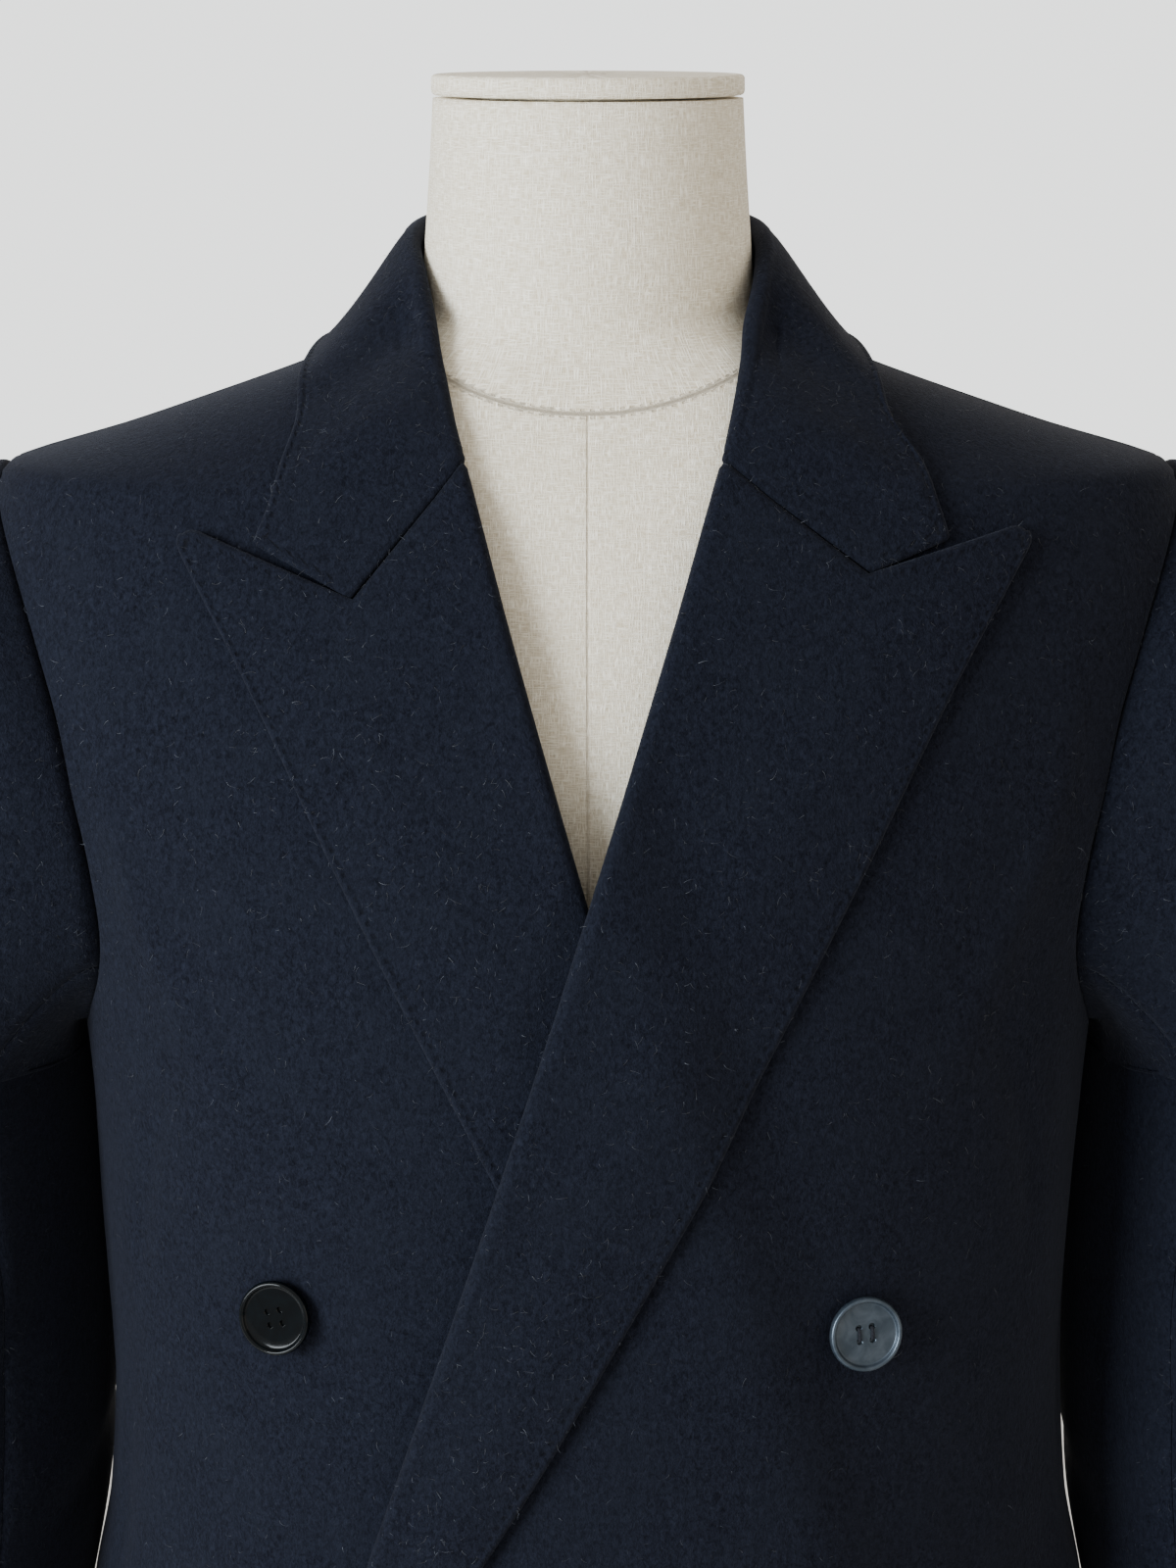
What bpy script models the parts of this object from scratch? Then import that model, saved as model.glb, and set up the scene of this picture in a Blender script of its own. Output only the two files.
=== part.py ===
"""A double-breasted wool overcoat with peak lapels, worn on a limbless linen dress form.

Metres, +Z up. The coat faces -Y and the wearer's left is +X. The origin is on the floor under
the pole. Every cloth piece is a wall between an inner and an outer sheet of points, both taken
from one body surface, so that pieces lie on each other and meet at their seams with a small gap.
Offsets are distances outward from that surface, which is the coat's inner face.
"""

import math

import bmesh
import bpy
import numpy as np
from mathutils import Matrix, Vector

# ---- driving dimensions ---------------------------------------------------------------------
CLOTH = 0.0024              # body and sleeve wall
TURNED_CLOTH = 0.0028       # collar and lapels, two thicknesses pressed together
SEAM_GAP = 0.0004
HEM_HEIGHT = 0.390
UNDERARM_HEIGHT = 1.205
SHOULDER_POINT_HEIGHT = 1.441
NECK_SEAM_HEIGHT = 1.497
SIDE_SEAM_ANGLE = 94.0      # degrees from the front, also the line of the shoulder seam
ROUNDNESS = 2.2             # exponent of the superellipse sections

V_HEIGHT = 1.2895           # where the two roll lines cross
ROLL_SLOPE = {"left": 0.315, "right": 0.289}   # sideways run of a roll line for each unit of height
OVERLAP = 0.130             # front edge, past the centre line
GORGE_HEIGHT = 1.4537       # where the gorge seam meets the roll line
LAPEL_END_HEIGHT = 0.955
RIGHT_FRONT_LIFT = 0.0036   # left front over the right front
RIGHT_LAPEL_LIFT = 0.0041   # and this much more over the right lapel
LIFT_MARGIN = 0.010         # the lift reaches this far past the right front's edge
LIFT_EASE = 0.040           # and is gone this much further on
LAPEL_OFFSET = 0.0049       # middle of a lapel's outer half over the coat's inner face
UNDER_TURN = 0.008          # cloth of the lapel on the inside of the roll
PANEL_BACK_OFF = 0.0092     # panel edge behind the roll line, above the lapel's end
ROLL_SPRING = 0.0020        # the lapel's roll stands this much prouder than its leaf
ROLL_SPRING_REACH = 0.030
LEAF_CLEARANCE = 0.0002
HIDDEN_ROLL = (0.003, 0.014)   # the right roll is flat under the left front, and springs past it
GORGE_STEP = 0.0009         # the collar's end above the lapel's top edge
COLLAR_ROLL_OFFSET = 0.0034
NECK_SEAM_RISE = 0.0022     # the collar's seam edge above the neck edge
NECK_SEAM_STEP = 0.0008
SLEEVE_SEAT_GAP = 0.0003

BUTTON_RADIUS = 0.015
BUTTON_THICKNESS = 0.0042
BUTTON_LIFT = 0.0030        # thread shank, clear of the cloth
BUTTON_TURN = 0.33          # share of the way each button is turned from the cloth to BUTTON_FACING
BUTTON_FACING = (0.0, -0.92, 0.39)
BUTTON_CLEARANCE = 0.0004   # room for the foot of the turned shank
BUTTON_SIDES = 20
SHANK_RADIUS = 0.0020

POLE_RADIUS = 0.0145
POLE_SIDES = 20
BASE_RADIUS = 0.190
BASE_THICKNESS = 0.018
BOSS_HEIGHT = 0.014
BOSS_RADIUS = 0.036
BUST_BOTTOM = 0.840
BUST_TURN_UNDER = 0.012     # the bust's bottom edge turns under to this much smaller ring
SOCKET_TOP_RADIUS = 0.060   # plate of the socket, and its sleeve round the pole
SOCKET_RADIUS = 0.026
SOCKET_PLATE = 0.008
SOCKET_LENGTH = 0.060
STAND_GAP = 0.0003
BUST_COLUMNS = 30
CAP_TOP = 1.600
CAP_BOTTOM = 1.592
CAP_RADIUS = 0.063
NECK_CENTRE_Y = 0.006

# Inner face of the coat: height, half width, depth in front, depth behind.
COAT_SECTIONS = (
    (0.390, 0.2620, 0.186, 0.186),
    (0.600, 0.2480, 0.178, 0.172),
    (0.800, 0.2340, 0.170, 0.158),
    (0.950, 0.2170, 0.163, 0.148),
    (1.000, 0.2075, 0.158, 0.140),
    (1.070, 0.2035, 0.154, 0.132),
    (1.140, 0.2060, 0.153, 0.133),
    (1.180, 0.2080, 0.153, 0.134),
    (1.250, 0.2150, 0.150, 0.140),
    (1.330, 0.2360, 0.138, 0.143),
    (1.400, 0.2430, 0.118, 0.135),
    (1.442, 0.2375, 0.096, 0.120),
    (1.449, 0.2180, 0.092, 0.117),
    (1.454, 0.2000, 0.089, 0.115),
    (1.4672, 0.1600, 0.080, 0.109),
    (1.481, 0.1206, 0.071, 0.102),
    (1.491, 0.0950, 0.064, 0.096),
    (1.497, 0.0820, 0.060, 0.091),
)

# Soft folds of the skirt: direction in degrees, half width in degrees, depth, height of the top.
SKIRT_FOLDS = (
    (62.0, 9.0, 0.012, 1.00),
    (84.0, 9.0, -0.005, 0.92),
    (118.0, 10.0, 0.016, 0.98),
    (150.0, 8.0, 0.010, 0.90),
    (-60.0, 9.0, 0.013, 1.02),
    (-86.0, 10.0, -0.006, 0.90),
    (-112.0, 10.0, 0.014, 0.95),
    (-148.0, 9.0, 0.012, 0.88),
)

# Rows of the body panels, from hem to neck seam.
SKIRT_ROWS = (0.390, 0.500, 0.620, 0.740, 0.850, 0.935, 0.955, 1.000, 1.070, 1.140, 1.180)
ARMHOLE_ROWS = (1.205, 1.212, 1.225, 1.247, 1.277, 1.310, 1.345, 1.380, 1.410, 1.430, 1.441)
SHOULDER_ROWS = (1.449, 1.4585, 1.4672, 1.4755, 1.4837, 1.491, 1.497)
FRONT_COLUMNS = 13
BACK_COLUMNS = 8

# Armhole edge: height, direction of the front edge, direction of the back edge, in degrees.
ARMHOLE_EDGE = (
    (1.205, 94.0, 94.0),
    (1.212, 82.0, 104.0),
    (1.225, 73.5, 110.0),
    (1.247, 65.5, 115.0),
    (1.277, 61.0, 118.0),
    (1.310, 58.8, 119.5),
    (1.345, 59.5, 119.0),
    (1.380, 63.2, 117.0),
    (1.410, 70.0, 112.5),
    (1.430, 80.0, 105.0),
    (1.441, 94.0, 94.0),
)

# Neck edge of a front above the gorge: height, distance from the centre line.
NECK_EDGE = (
    (1.4537, 0.0634),
    (1.4672, 0.0655),
    (1.4810, 0.0670),
    (1.4910, 0.0672),
    (1.4970, 0.0660),
)

# Lapels, seen from the front: distance from the centre line and height of each corner.
LAPEL_SHAPE = {
    "left": {"notch": (0.1070, 1.4145), "tip": (0.1700, 1.4300), "corner": (0.1380, 1.4256)},
    "right": {"notch": (0.0895, 1.4060), "tip": (0.1570, 1.4300), "corner": (0.1275, 1.4245)},
}
# Outer edge of each lapel: height, distance from the centre line.
LAPEL_EDGE = {
    "left": ((0.8955, -0.1300), (0.950, -0.0910), (1.032, -0.0400), (1.1755, 0.0373),
             (1.300, 0.1010), (1.380, 0.1420), (1.4300, 0.1700)),
    "right": ((0.8955, -0.1210), (0.950, -0.0830), (1.032, -0.0420), (1.1855, 0.0340),
              (1.300, 0.0920), (1.380, 0.1310), (1.4300, 0.1570)),
}
LAPEL_ROWS = 14
LEAF_COLUMNS = 6
NOTCH_COLUMN = 3            # leaf column that ends on the notch in the top row

# Sleeve sections below the armhole: height, centre x, centre y, half width, half depth.
SLEEVE_SECTIONS = (
    (1.190, 0.2665, 0.002, 0.0520, 0.0840),
    (1.135, 0.2632, 0.002, 0.0510, 0.0820),
    (1.080, 0.2612, -0.001, 0.0500, 0.0790),
    (1.030, 0.2627, -0.006, 0.0490, 0.0765),
    (0.980, 0.2667, -0.014, 0.0480, 0.0730),
    (0.930, 0.2735, -0.029, 0.0460, 0.0700),
    (0.865, 0.2835, -0.037, 0.0430, 0.0655),
    (0.800, 0.2920, -0.045, 0.0400, 0.0610),
)
SLEEVE_HEAD_RINGS = 5
SLEEVE_TURN = 0.20          # the sleeve's section is turned, its back half nearer the body
FRONT_SLEEVE_SEAM = 7       # armhole points, counted from the shoulder round the front
BACK_SLEEVE_SEAM = 14
SLEEVE_HEAD_RISE = 0.005    # how far the sleeve stands out of the armhole seam
SLEEVE_DROP_TOP = 1.400     # below this the sleeve leaves its seam sideways and down
SLEEVE_DROP_EASE = 0.120
SLEEVE_FULLNESS = 0.48      # how far the head swells, as a share of its length

# Collar stations from the gorge to the centre back, one side: fold line x, y, z, then the
# direction (degrees) and height of the outer edge, then direction and height of the neck seam.
COLLAR_STATIONS = (
    (0.0560, -0.0790, 1.4715, 28.5, 1.4390, 0.0, 1.4690),
    (0.0588, -0.0630, 1.4880, 32.5, 1.4520, 0.0, 1.4840),
    (0.0625, -0.0455, 1.5060, 41.5, 1.4660, 52.0, 1.4970),
    (0.0675, -0.0230, 1.5230, 60.0, 1.4785, 72.0, 1.4970),
    (0.0710, 0.0030, 1.5350, 94.0, 1.4855, 94.0, 1.4970),
    (0.0680, 0.0300, 1.5400, 113.0, 1.4865, 116.0, 1.4970),
    (0.0545, 0.0560, 1.5430, 134.0, 1.4865, 138.0, 1.4970),
    (0.0300, 0.0750, 1.5450, 157.0, 1.4860, 159.0, 1.4970),
    (0.0000, 0.0815, 1.5460, 180.0, 1.4855, 180.0, 1.4970),
)
COLLAR_FOLD_RADIUS = 0.0028
COLLAR_EXTRA_LIFT = 0.0018  # the fall lies this much looser over the shoulder and the back
COLLAR_FOLD_OUT = {          # the fold line's sideways shift at each station
    "left": (0.0004, 0.0018, 0.0029, 0.0015) + (0.0,) * 5,
    "right": (-0.0033, -0.0018, 0.0004, -0.0008) + (0.0,) * 5,
}
COLLAR_WIDER = {"left": (3.5, 3.7, 2.4, 0.8) + (0.0,) * 5, "right": (0.0,) * 9}   # degrees, each station
COLLAR_SPREAD = {"left": 0.45, "right": 0.36}   # how much the fall stands off the shoulder

# Dress form below the shoulders: height, half width, depth in front, depth behind.
BUST_SECTIONS = (
    (0.840, 0.1600, 0.112, 0.122),
    (0.930, 0.1680, 0.118, 0.130),
    (1.000, 0.1600, 0.116, 0.120),
    (1.070, 0.1520, 0.114, 0.106),
    (1.150, 0.1640, 0.120, 0.106),
    (1.250, 0.1860, 0.130, 0.116),
    (1.330, 0.2030, 0.126, 0.124),
    (1.400, 0.2080, 0.110, 0.122),
    (1.430, 0.2000, 0.098, 0.116),
)
BUST_ROWS = (0.840, 0.880, 0.930, 0.980, 1.030, 1.080, 1.150, 1.210, 1.270, 1.330, 1.380, 1.410, 1.430)
SEAT_OFFSET = -0.0013       # the form's shoulders, inside the coat
# Neck of the form: height, radius, y of its centre.
NECK_SECTIONS = (
    (1.5030, 0.0690, 0.0105),
    (1.5130, 0.0675, 0.0080),
    (1.5300, 0.0665, 0.006),
    (1.5500, 0.0650, 0.006),
    (1.5720, 0.0635, 0.006),
    (1.5915, 0.0624, 0.006),
)

# Buttons: side, row height, distance from the centre line, front that carries it, and the extra
# length of its shank where the cloth below rises beside it.
BUTTONS = (
    ("left", 1.121, 0.1060, "left", 0.0003),
    ("left", 0.993, 0.1060, "left", 0.0),
    ("left", 0.865, 0.1060, "left", 0.0003),
    ("right", 1.125, 0.1200, "right", 0.0),
    ("right", 0.997, 0.1200, "right", 0.0),
    ("right", 0.868, 0.1080, "left", 0.0),
)

SIDES = {"left": 1.0, "right": -1.0}


# ---- small maths ----------------------------------------------------------------------------
def smooth_curve(knots, values):
    """A curve through the knots that never overshoots them (monotone cubic)."""
    knots = np.array(knots, dtype=float)
    values = np.array(values, dtype=float)
    spans = np.diff(knots)
    slopes = np.diff(values) / spans
    tangents = np.zeros(len(knots))
    tangents[0], tangents[-1] = slopes[0], slopes[-1]
    for i in range(1, len(knots) - 1):
        if slopes[i - 1] * slopes[i] > 0:
            near = 2 * spans[i] + spans[i - 1]
            far = spans[i] + 2 * spans[i - 1]
            tangents[i] = (near + far) / (near / slopes[i - 1] + far / slopes[i])

    def at(position):
        i = int(np.clip(np.searchsorted(knots, position) - 1, 0, len(spans) - 1))
        u = min(max((position - knots[i]) / spans[i], 0.0), 1.0)
        return (values[i] * (1 + 2 * u) * (1 - u) ** 2 + spans[i] * tangents[i] * u * (1 - u) ** 2
                + values[i + 1] * u * u * (3 - 2 * u) + spans[i] * tangents[i + 1] * u * u * (u - 1))

    return at


def column_curves(rows):
    """One smooth curve over the first column for each of the others."""
    columns = list(zip(*rows))
    return [smooth_curve(columns[0], column) for column in columns[1:]]


def ease(u):
    """0 below 0, 1 above 1, smooth between."""
    u = min(max(u, 0.0), 1.0)
    return u * u * (3 - 2 * u)


def unit(vector):
    return vector / np.linalg.norm(vector)


# ---- the coat's surface ---------------------------------------------------------------------
coat_width, coat_front, coat_back = column_curves(COAT_SECTIONS)


def fold_depth(angle, z):
    """How far the skirt's folds push the cloth out at this direction and height."""
    depth = 0.0
    for direction, half_width, full_depth, top in SKIRT_FOLDS:
        away = abs((angle - direction + 180.0) % 360.0 - 180.0) / half_width
        if away < 1.0:
            depth += full_depth * ease((top - z) / (top - HEM_HEIGHT)) * (1 + math.cos(math.pi * away)) / 2
    return depth


def section_point(angle, z):
    """A point of the smooth surface, without folds."""
    turn = math.radians(angle)
    across, along = math.sin(turn), math.cos(turn)
    power = 2.0 / ROUNDNESS
    x = coat_width(z) * math.copysign(abs(across) ** power, across)
    depth = -coat_front(z) if along > 0 else coat_back(z)
    return np.array((x, depth * abs(along) ** power, z))


def surface_normal(angle, z):
    around = section_point(angle + 0.6, z) - section_point(angle - 0.6, z)
    low, high = max(z - 0.002, HEM_HEIGHT), min(z + 0.002, NECK_SEAM_HEIGHT)
    up = section_point(angle, high) - section_point(angle, low)
    return unit(np.cross(around, up))


def body_point(angle, z, offset):
    """A point at this direction and height, moved outward from the coat's inner face."""
    return section_point(angle, z) + surface_normal(angle, z) * (offset + fold_depth(angle, z))


def angle_at(x, z):
    """Direction in which the front surface has this x."""
    share = min(abs(x) / coat_width(z), 1.0)
    return math.copysign(math.degrees(math.asin(share ** (ROUNDNESS / 2.0))), x)


def clear_of_body(point, clearance):
    """The point, moved straight out of the body until it is this far from its inner face."""
    def level(place):
        depth = coat_front(place[2]) if place[1] < 0 else coat_back(place[2])
        return ((abs(place[0]) / coat_width(place[2])) ** ROUNDNESS
                + (abs(place[1]) / depth) ** ROUNDNESS) ** (1 / ROUNDNESS) - 1

    for _ in range(4):
        if point[2] >= NECK_SEAM_HEIGHT - 0.0005:
            return point
        step = 0.0004
        rises = [level(point + axis) - level(point - axis) for axis in np.eye(3) * step]
        slope = np.array(rises) / (2 * step)
        height = level(point) / np.linalg.norm(slope)
        if height >= clearance:
            return point
        point = point + unit(slope) * (clearance - height)
    return point


def roll_line(side, z):
    """Distance of a front's roll line from the centre, positive on its own side."""
    return ROLL_SLOPE[side] * (z - V_HEIGHT)


def overlap_lift(side, x, z):
    """How far the left front is lifted by what it lies on: the right front and its lapel."""
    if side == "right":
        return 0.0
    level = RIGHT_FRONT_LIFT + RIGHT_LAPEL_LIFT * ease((z - 0.900) / 0.035)
    right_edge = min(-roll_line("right", z), OVERLAP)
    return level * ease((right_edge + LIFT_MARGIN + LIFT_EASE - x) / LIFT_EASE)


def front_point(side, reach, z, offset):
    """A point over one front; reach is the distance from the centre, positive on its own side."""
    x = SIDES[side] * reach
    return body_point(angle_at(x, z), z, offset + overlap_lift(side, x, z))


# ---- solids from sheets of points -----------------------------------------------------------
def add_material(name, colour, roughness, metallic=0.0):
    material = bpy.data.materials.new(name)
    material.use_nodes = True
    shader = material.node_tree.nodes["Principled BSDF"]
    shader.inputs["Base Color"].default_value = (*colour, 1.0)
    shader.inputs["Roughness"].default_value = roughness
    shader.inputs["Metallic"].default_value = metallic
    return material


def add_object(name, points, faces, material, smooth_angle=40.0):
    """A mesh object whose faces are turned to point out of the closed body."""
    mesh = bpy.data.meshes.new(name)
    mesh.from_pydata([tuple(point) for point in points], [], faces)
    shape = bmesh.new()
    shape.from_mesh(mesh)
    bmesh.ops.triangulate(shape, faces=shape.faces[:])
    bmesh.ops.recalc_face_normals(shape, faces=shape.faces[:])
    shape.to_mesh(mesh)
    shape.free()
    mesh.materials.append(material)
    mesh.shade_smooth()
    mesh.set_sharp_from_angle(angle=math.radians(smooth_angle))
    piece = bpy.data.objects.new(name, mesh)
    bpy.context.scene.collection.objects.link(piece)
    return piece


def sheet_faces(rows, columns, start=0):
    """Quads over a grid of points, numbered row by row."""
    faces = []
    for row in range(rows - 1):
        for column in range(columns - 1):
            corner = start + row * columns + column
            faces.append((corner, corner + 1, corner + 1 + columns, corner + columns))
    return faces


def rim_loop(rows, columns):
    """The point numbers round the edge of a grid, in order."""
    bottom = list(range(columns))
    right = [row * columns + columns - 1 for row in range(1, rows)]
    top = [(rows - 1) * columns + column for column in range(columns - 2, -1, -1)]
    left = [row * columns for row in range(rows - 2, 0, -1)]
    return bottom + right + top + left


def add_wall(name, inner, outer, material):
    """A closed wall between two grids of points of the same size."""
    rows, columns = len(inner), len(inner[0])
    count = rows * columns
    points = [point for row in inner for point in row] + [point for row in outer for point in row]
    faces = [face[::-1] for face in sheet_faces(rows, columns)] + sheet_faces(rows, columns, count)
    loop = rim_loop(rows, columns)
    for here, after in zip(loop, loop[1:] + loop[:1]):
        faces.append((here, after, after + count, here + count))
    return add_object(name, points, faces, material)


def add_rings(name, rings, material, smooth_angle=40.0):
    """A solid lofted through closed rings, with flat ends."""
    sides = len(rings[0])
    points = [point for ring in rings for point in ring]
    faces = []
    for level in range(len(rings) - 1):
        for side in range(sides):
            after = (side + 1) % sides
            low, high = level * sides, (level + 1) * sides
            faces.append((low + side, low + after, high + after, high + side))
    faces.append(tuple(range(sides))[::-1])
    faces.append(tuple((len(rings) - 1) * sides + side for side in range(sides)))
    return add_object(name, points, faces, material, smooth_angle)


def turned_rings(profile, sides, centre=(0.0, 0.0)):
    """Rings of a turned solid, from (radius, height) pairs."""
    rings = []
    for radius, height in profile:
        ring = []
        for side in range(sides):
            turn = 2 * math.pi * side / sides
            ring.append((centre[0] + radius * math.cos(turn), centre[1] + radius * math.sin(turn), height))
        rings.append(ring)
    return rings


# ---- body panels ----------------------------------------------------------------------------
armhole_front, armhole_back = column_curves(ARMHOLE_EDGE)
(neck_edge,) = column_curves(NECK_EDGE)


def front_edge_reach(side, z):
    """Where a front ends towards the middle: front edge, roll line, or neck edge."""
    if z < LAPEL_END_HEIGHT - 0.01:
        return max(roll_line(side, z), -OVERLAP)
    if z <= GORGE_HEIGHT:
        return roll_line(side, z) + PANEL_BACK_OFF
    return neck_edge(z)


def gap_angle(angle, z, gap):
    """The turn, in degrees, that moves a point sideways by this gap."""
    step = np.linalg.norm(section_point(angle + 0.5, z) - section_point(angle - 0.5, z))
    return gap / step


def seam_angles(z):
    """Directions of the front's and the back's outer edges: armhole, side or shoulder seam."""
    if UNDERARM_HEIGHT < z < SHOULDER_POINT_HEIGHT:
        return armhole_front(z), armhole_back(z)
    half_gap = gap_angle(SIDE_SEAM_ANGLE, z, SEAM_GAP / 2)
    return SIDE_SEAM_ANGLE - half_gap, SIDE_SEAM_ANGLE + half_gap


BODY_ROWS = SKIRT_ROWS + ARMHOLE_ROWS + SHOULDER_ROWS


def add_front(side, material):
    sign = SIDES[side]
    inner, outer = [], []
    for z in BODY_ROWS:
        start = sign * angle_at(sign * front_edge_reach(side, z), z)
        end = seam_angles(z)[0]
        inner_row, outer_row = [], []
        for column in range(FRONT_COLUMNS):
            angle = sign * (start + (end - start) * column / (FRONT_COLUMNS - 1))
            lift = overlap_lift(side, section_point(angle, z)[0], z) if abs(angle) < 90 else 0.0
            inner_row.append(body_point(angle, z, lift))
            outer_row.append(body_point(angle, z, lift + CLOTH))
        inner.append(inner_row)
        outer.append(outer_row)
    return add_wall(f"front_{side}", inner, outer, material)


def add_back(side, material):
    sign = SIDES[side]
    inner, outer = [], []
    for z in BODY_ROWS:
        start = seam_angles(z)[1]
        end = 180.0 - gap_angle(180.0, z, SEAM_GAP / 2)
        shares = [column / (BACK_COLUMNS - 1) for column in range(BACK_COLUMNS)]
        angles = [sign * (start + (end - start) * share) for share in shares]
        inner.append([body_point(angle, z, 0.0) for angle in angles])
        outer.append([body_point(angle, z, CLOTH) for angle in angles])
    return add_wall(f"back_{side}", inner, outer, material)


# ---- lapels and collar ----------------------------------------------------------------------
lapel_edge = {side: smooth_curve(*zip(*LAPEL_EDGE[side])) for side in SIDES}


def leaf_offset(side, point, distance):
    """Middle of the turned-back cloth over the front, at this distance from the roll."""
    shown = 1.0
    if side == "right":
        left_roll = -roll_line("left", point[1])
        shown = ease((point[0] - left_roll - HIDDEN_ROLL[0]) / HIDDEN_ROLL[1])
    spring = LEAF_CLEARANCE + ROLL_SPRING * math.exp(-distance / ROLL_SPRING_REACH)
    return LAPEL_OFFSET + spring * shown


def path_point(path, distance):
    """A point at this distance along a plane polyline."""
    left = distance
    for start, end in zip(path, path[1:]):
        length = np.linalg.norm(end - start)
        if left <= length or end is path[-1]:
            return start + (end - start) * (left / length)
        left -= length


def hook_rows(side, path, stops):
    """Inner and outer points of cloth that comes up under the roll, turns, and lies back.

    path runs from the roll line outward, in the front's own plane coordinates (reach, height);
    stops are the distances along it of the leaf's points.
    """
    roll_offset = leaf_offset(side, path[0], 0.0)
    low = CLOTH / 2
    radius = (roll_offset - low) / 2
    section = [(UNDER_TURN, low, 0.0, -1.0), (UNDER_TURN / 2, low, 0.0, -1.0)]
    for turn in (-90, -45, 0, 45, 90):
        across, out = math.cos(math.radians(turn)), math.sin(math.radians(turn))
        section.append((radius - radius * across, low + radius + radius * out, -across, out))
    for stop in stops:
        section.append((stop, leaf_offset(side, path_point(path, stop), stop), 0.0, 1.0))
    inner, outer = [], []
    half_thick = [CLOTH / 2] * 2 + [CLOTH / 2 + (TURNED_CLOTH - CLOTH) / 2 * i / 4 for i in range(5)]
    half_thick += [TURNED_CLOTH / 2] * len(stops)
    for (distance, offset, along, out), half in zip(section, half_thick):
        for rows, sign in ((inner, -1.0), (outer, 1.0)):
            moved = distance + sign * half * along
            place = path_point(path, max(moved, 0.0))
            if moved < 0.0:
                place = path[0] + unit(path[1] - path[0]) * moved
            rows.append(front_point(side, place[0], place[1], offset + sign * half * out))
    return inner, outer


def leaf_stops(lengths):
    """Distances of the leaf's points along a path that bends once, on the notch."""
    first, second = lengths
    stops = [first * (column + 1) / NOTCH_COLUMN for column in range(NOTCH_COLUMN)]
    rest = LEAF_COLUMNS - NOTCH_COLUMN
    return stops + [first + second * (column + 1) / rest for column in range(rest)]


def add_lapel(side, material):
    shape = LAPEL_SHAPE[side]
    roll_top = np.array((roll_line(side, GORGE_HEIGHT), GORGE_HEIGHT))
    notch, tip = np.array(shape["notch"]), np.array(shape["tip"])
    straight = roll_top + (tip - roll_top) * 0.5
    inner, outer = [], []
    for row in range(LAPEL_ROWS):
        share = (row / (LAPEL_ROWS - 1)) ** 1.15
        roll_height = GORGE_HEIGHT + (LAPEL_END_HEIGHT - GORGE_HEIGHT) * share
        edge_height = tip[1] + (LAPEL_END_HEIGHT + 0.004 - tip[1]) * share
        roll = np.array((roll_line(side, roll_height), roll_height))
        edge = np.array((lapel_edge[side](edge_height), edge_height))
        bend = roll + (edge - roll) * 0.5 + (notch - straight) * (1 - ease(share / 0.45))
        path = [roll, bend, edge]
        stops = leaf_stops([np.linalg.norm(bend - roll), np.linalg.norm(edge - bend)])
        inner_row, outer_row = hook_rows(side, path, stops)
        inner.append(inner_row)
        outer.append(outer_row)
    return add_wall(f"lapel_{side}", inner, outer, material)


def collar_front_row(side):
    """The collar's end along the gorge seam and its free front edge, as inner and outer points."""
    shape = LAPEL_SHAPE[side]
    lift = np.array((0.0, GORGE_STEP))
    roll_top = np.array((roll_line(side, GORGE_HEIGHT), GORGE_HEIGHT)) + lift
    notch, corner = np.array(shape["notch"]) + lift, np.array(shape["corner"]) + lift
    stops = leaf_stops([np.linalg.norm(notch - roll_top), np.linalg.norm(corner - notch)])
    return hook_rows(side, [roll_top, notch, corner], stops)


def collar_section(side, station, fold_before, fold_after):
    """Middle points of the collar across one station, and the direction out of the fold."""
    sign = SIDES[side]
    x, y, z, edge_angle, edge_height, seam_angle, seam_height = COLLAR_STATIONS[station]
    edge_angle += COLLAR_WIDER[side][station]
    fold = np.array((sign * (x + COLLAR_FOLD_OUT[side][station]), y, z))
    if seam_angle == 0.0:
        seam_angle = angle_at(neck_edge(seam_height) - SEAM_GAP * 4, seam_height)
        seam = body_point(sign * seam_angle, seam_height, CLOTH / 2)
    else:
        top = body_point(sign * seam_angle, seam_height, CLOTH / 2)
        below = body_point(sign * seam_angle, seam_height - 0.003, CLOTH / 2)
        seam = top + unit(top - below) * NECK_SEAM_RISE + np.array((0.0, 0.0, NECK_SEAM_STEP))
    along = unit(fold_after - fold_before)
    up = fold - seam
    up = unit(up - along * np.dot(up, along))
    out = np.cross(along, up) * sign
    centre = fold - up * COLLAR_FOLD_RADIUS
    clearance = LAPEL_OFFSET + COLLAR_EXTRA_LIFT * ease((edge_angle - 32.0) / 30.0)
    edge = body_point(sign * edge_angle, edge_height, clearance)
    inside = centre - out * COLLAR_FOLD_RADIUS
    outside = centre + out * COLLAR_FOLD_RADIUS
    points = [seam, seam + (inside - seam) * 0.5, inside]
    for turn in (135, 90, 45):
        points.append(centre + (out * math.cos(math.radians(turn)) + up * math.sin(math.radians(turn)))
                      * COLLAR_FOLD_RADIUS)
    points.append(outside)
    reach = np.linalg.norm(edge - outside)
    facing = surface_normal(sign * edge_angle, edge_height)
    lie = edge - outside
    lie = unit(lie - facing * np.dot(lie, facing))
    for column in range(LEAF_COLUMNS):
        u = (column + 1) / LEAF_COLUMNS
        start_pull, end_pull = (out * COLLAR_SPREAD[side] - up * 0.6) * reach, lie * reach * 0.6
        place = (outside * (1 + 2 * u) * (1 - u) ** 2 + start_pull * u * (1 - u) ** 2
                 + edge * u * u * (3 - 2 * u) + end_pull * u * u * (u - 1))
        points.append(clear_of_body(place, clearance))
    return points


def grid_normals(grid):
    """Unit normals over a grid of points, by differences."""
    grid = np.array(grid)
    down = np.gradient(grid, axis=0)
    across = np.gradient(grid, axis=1)
    normals = np.cross(down, across)
    return normals / np.linalg.norm(normals, axis=2, keepdims=True)


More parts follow.
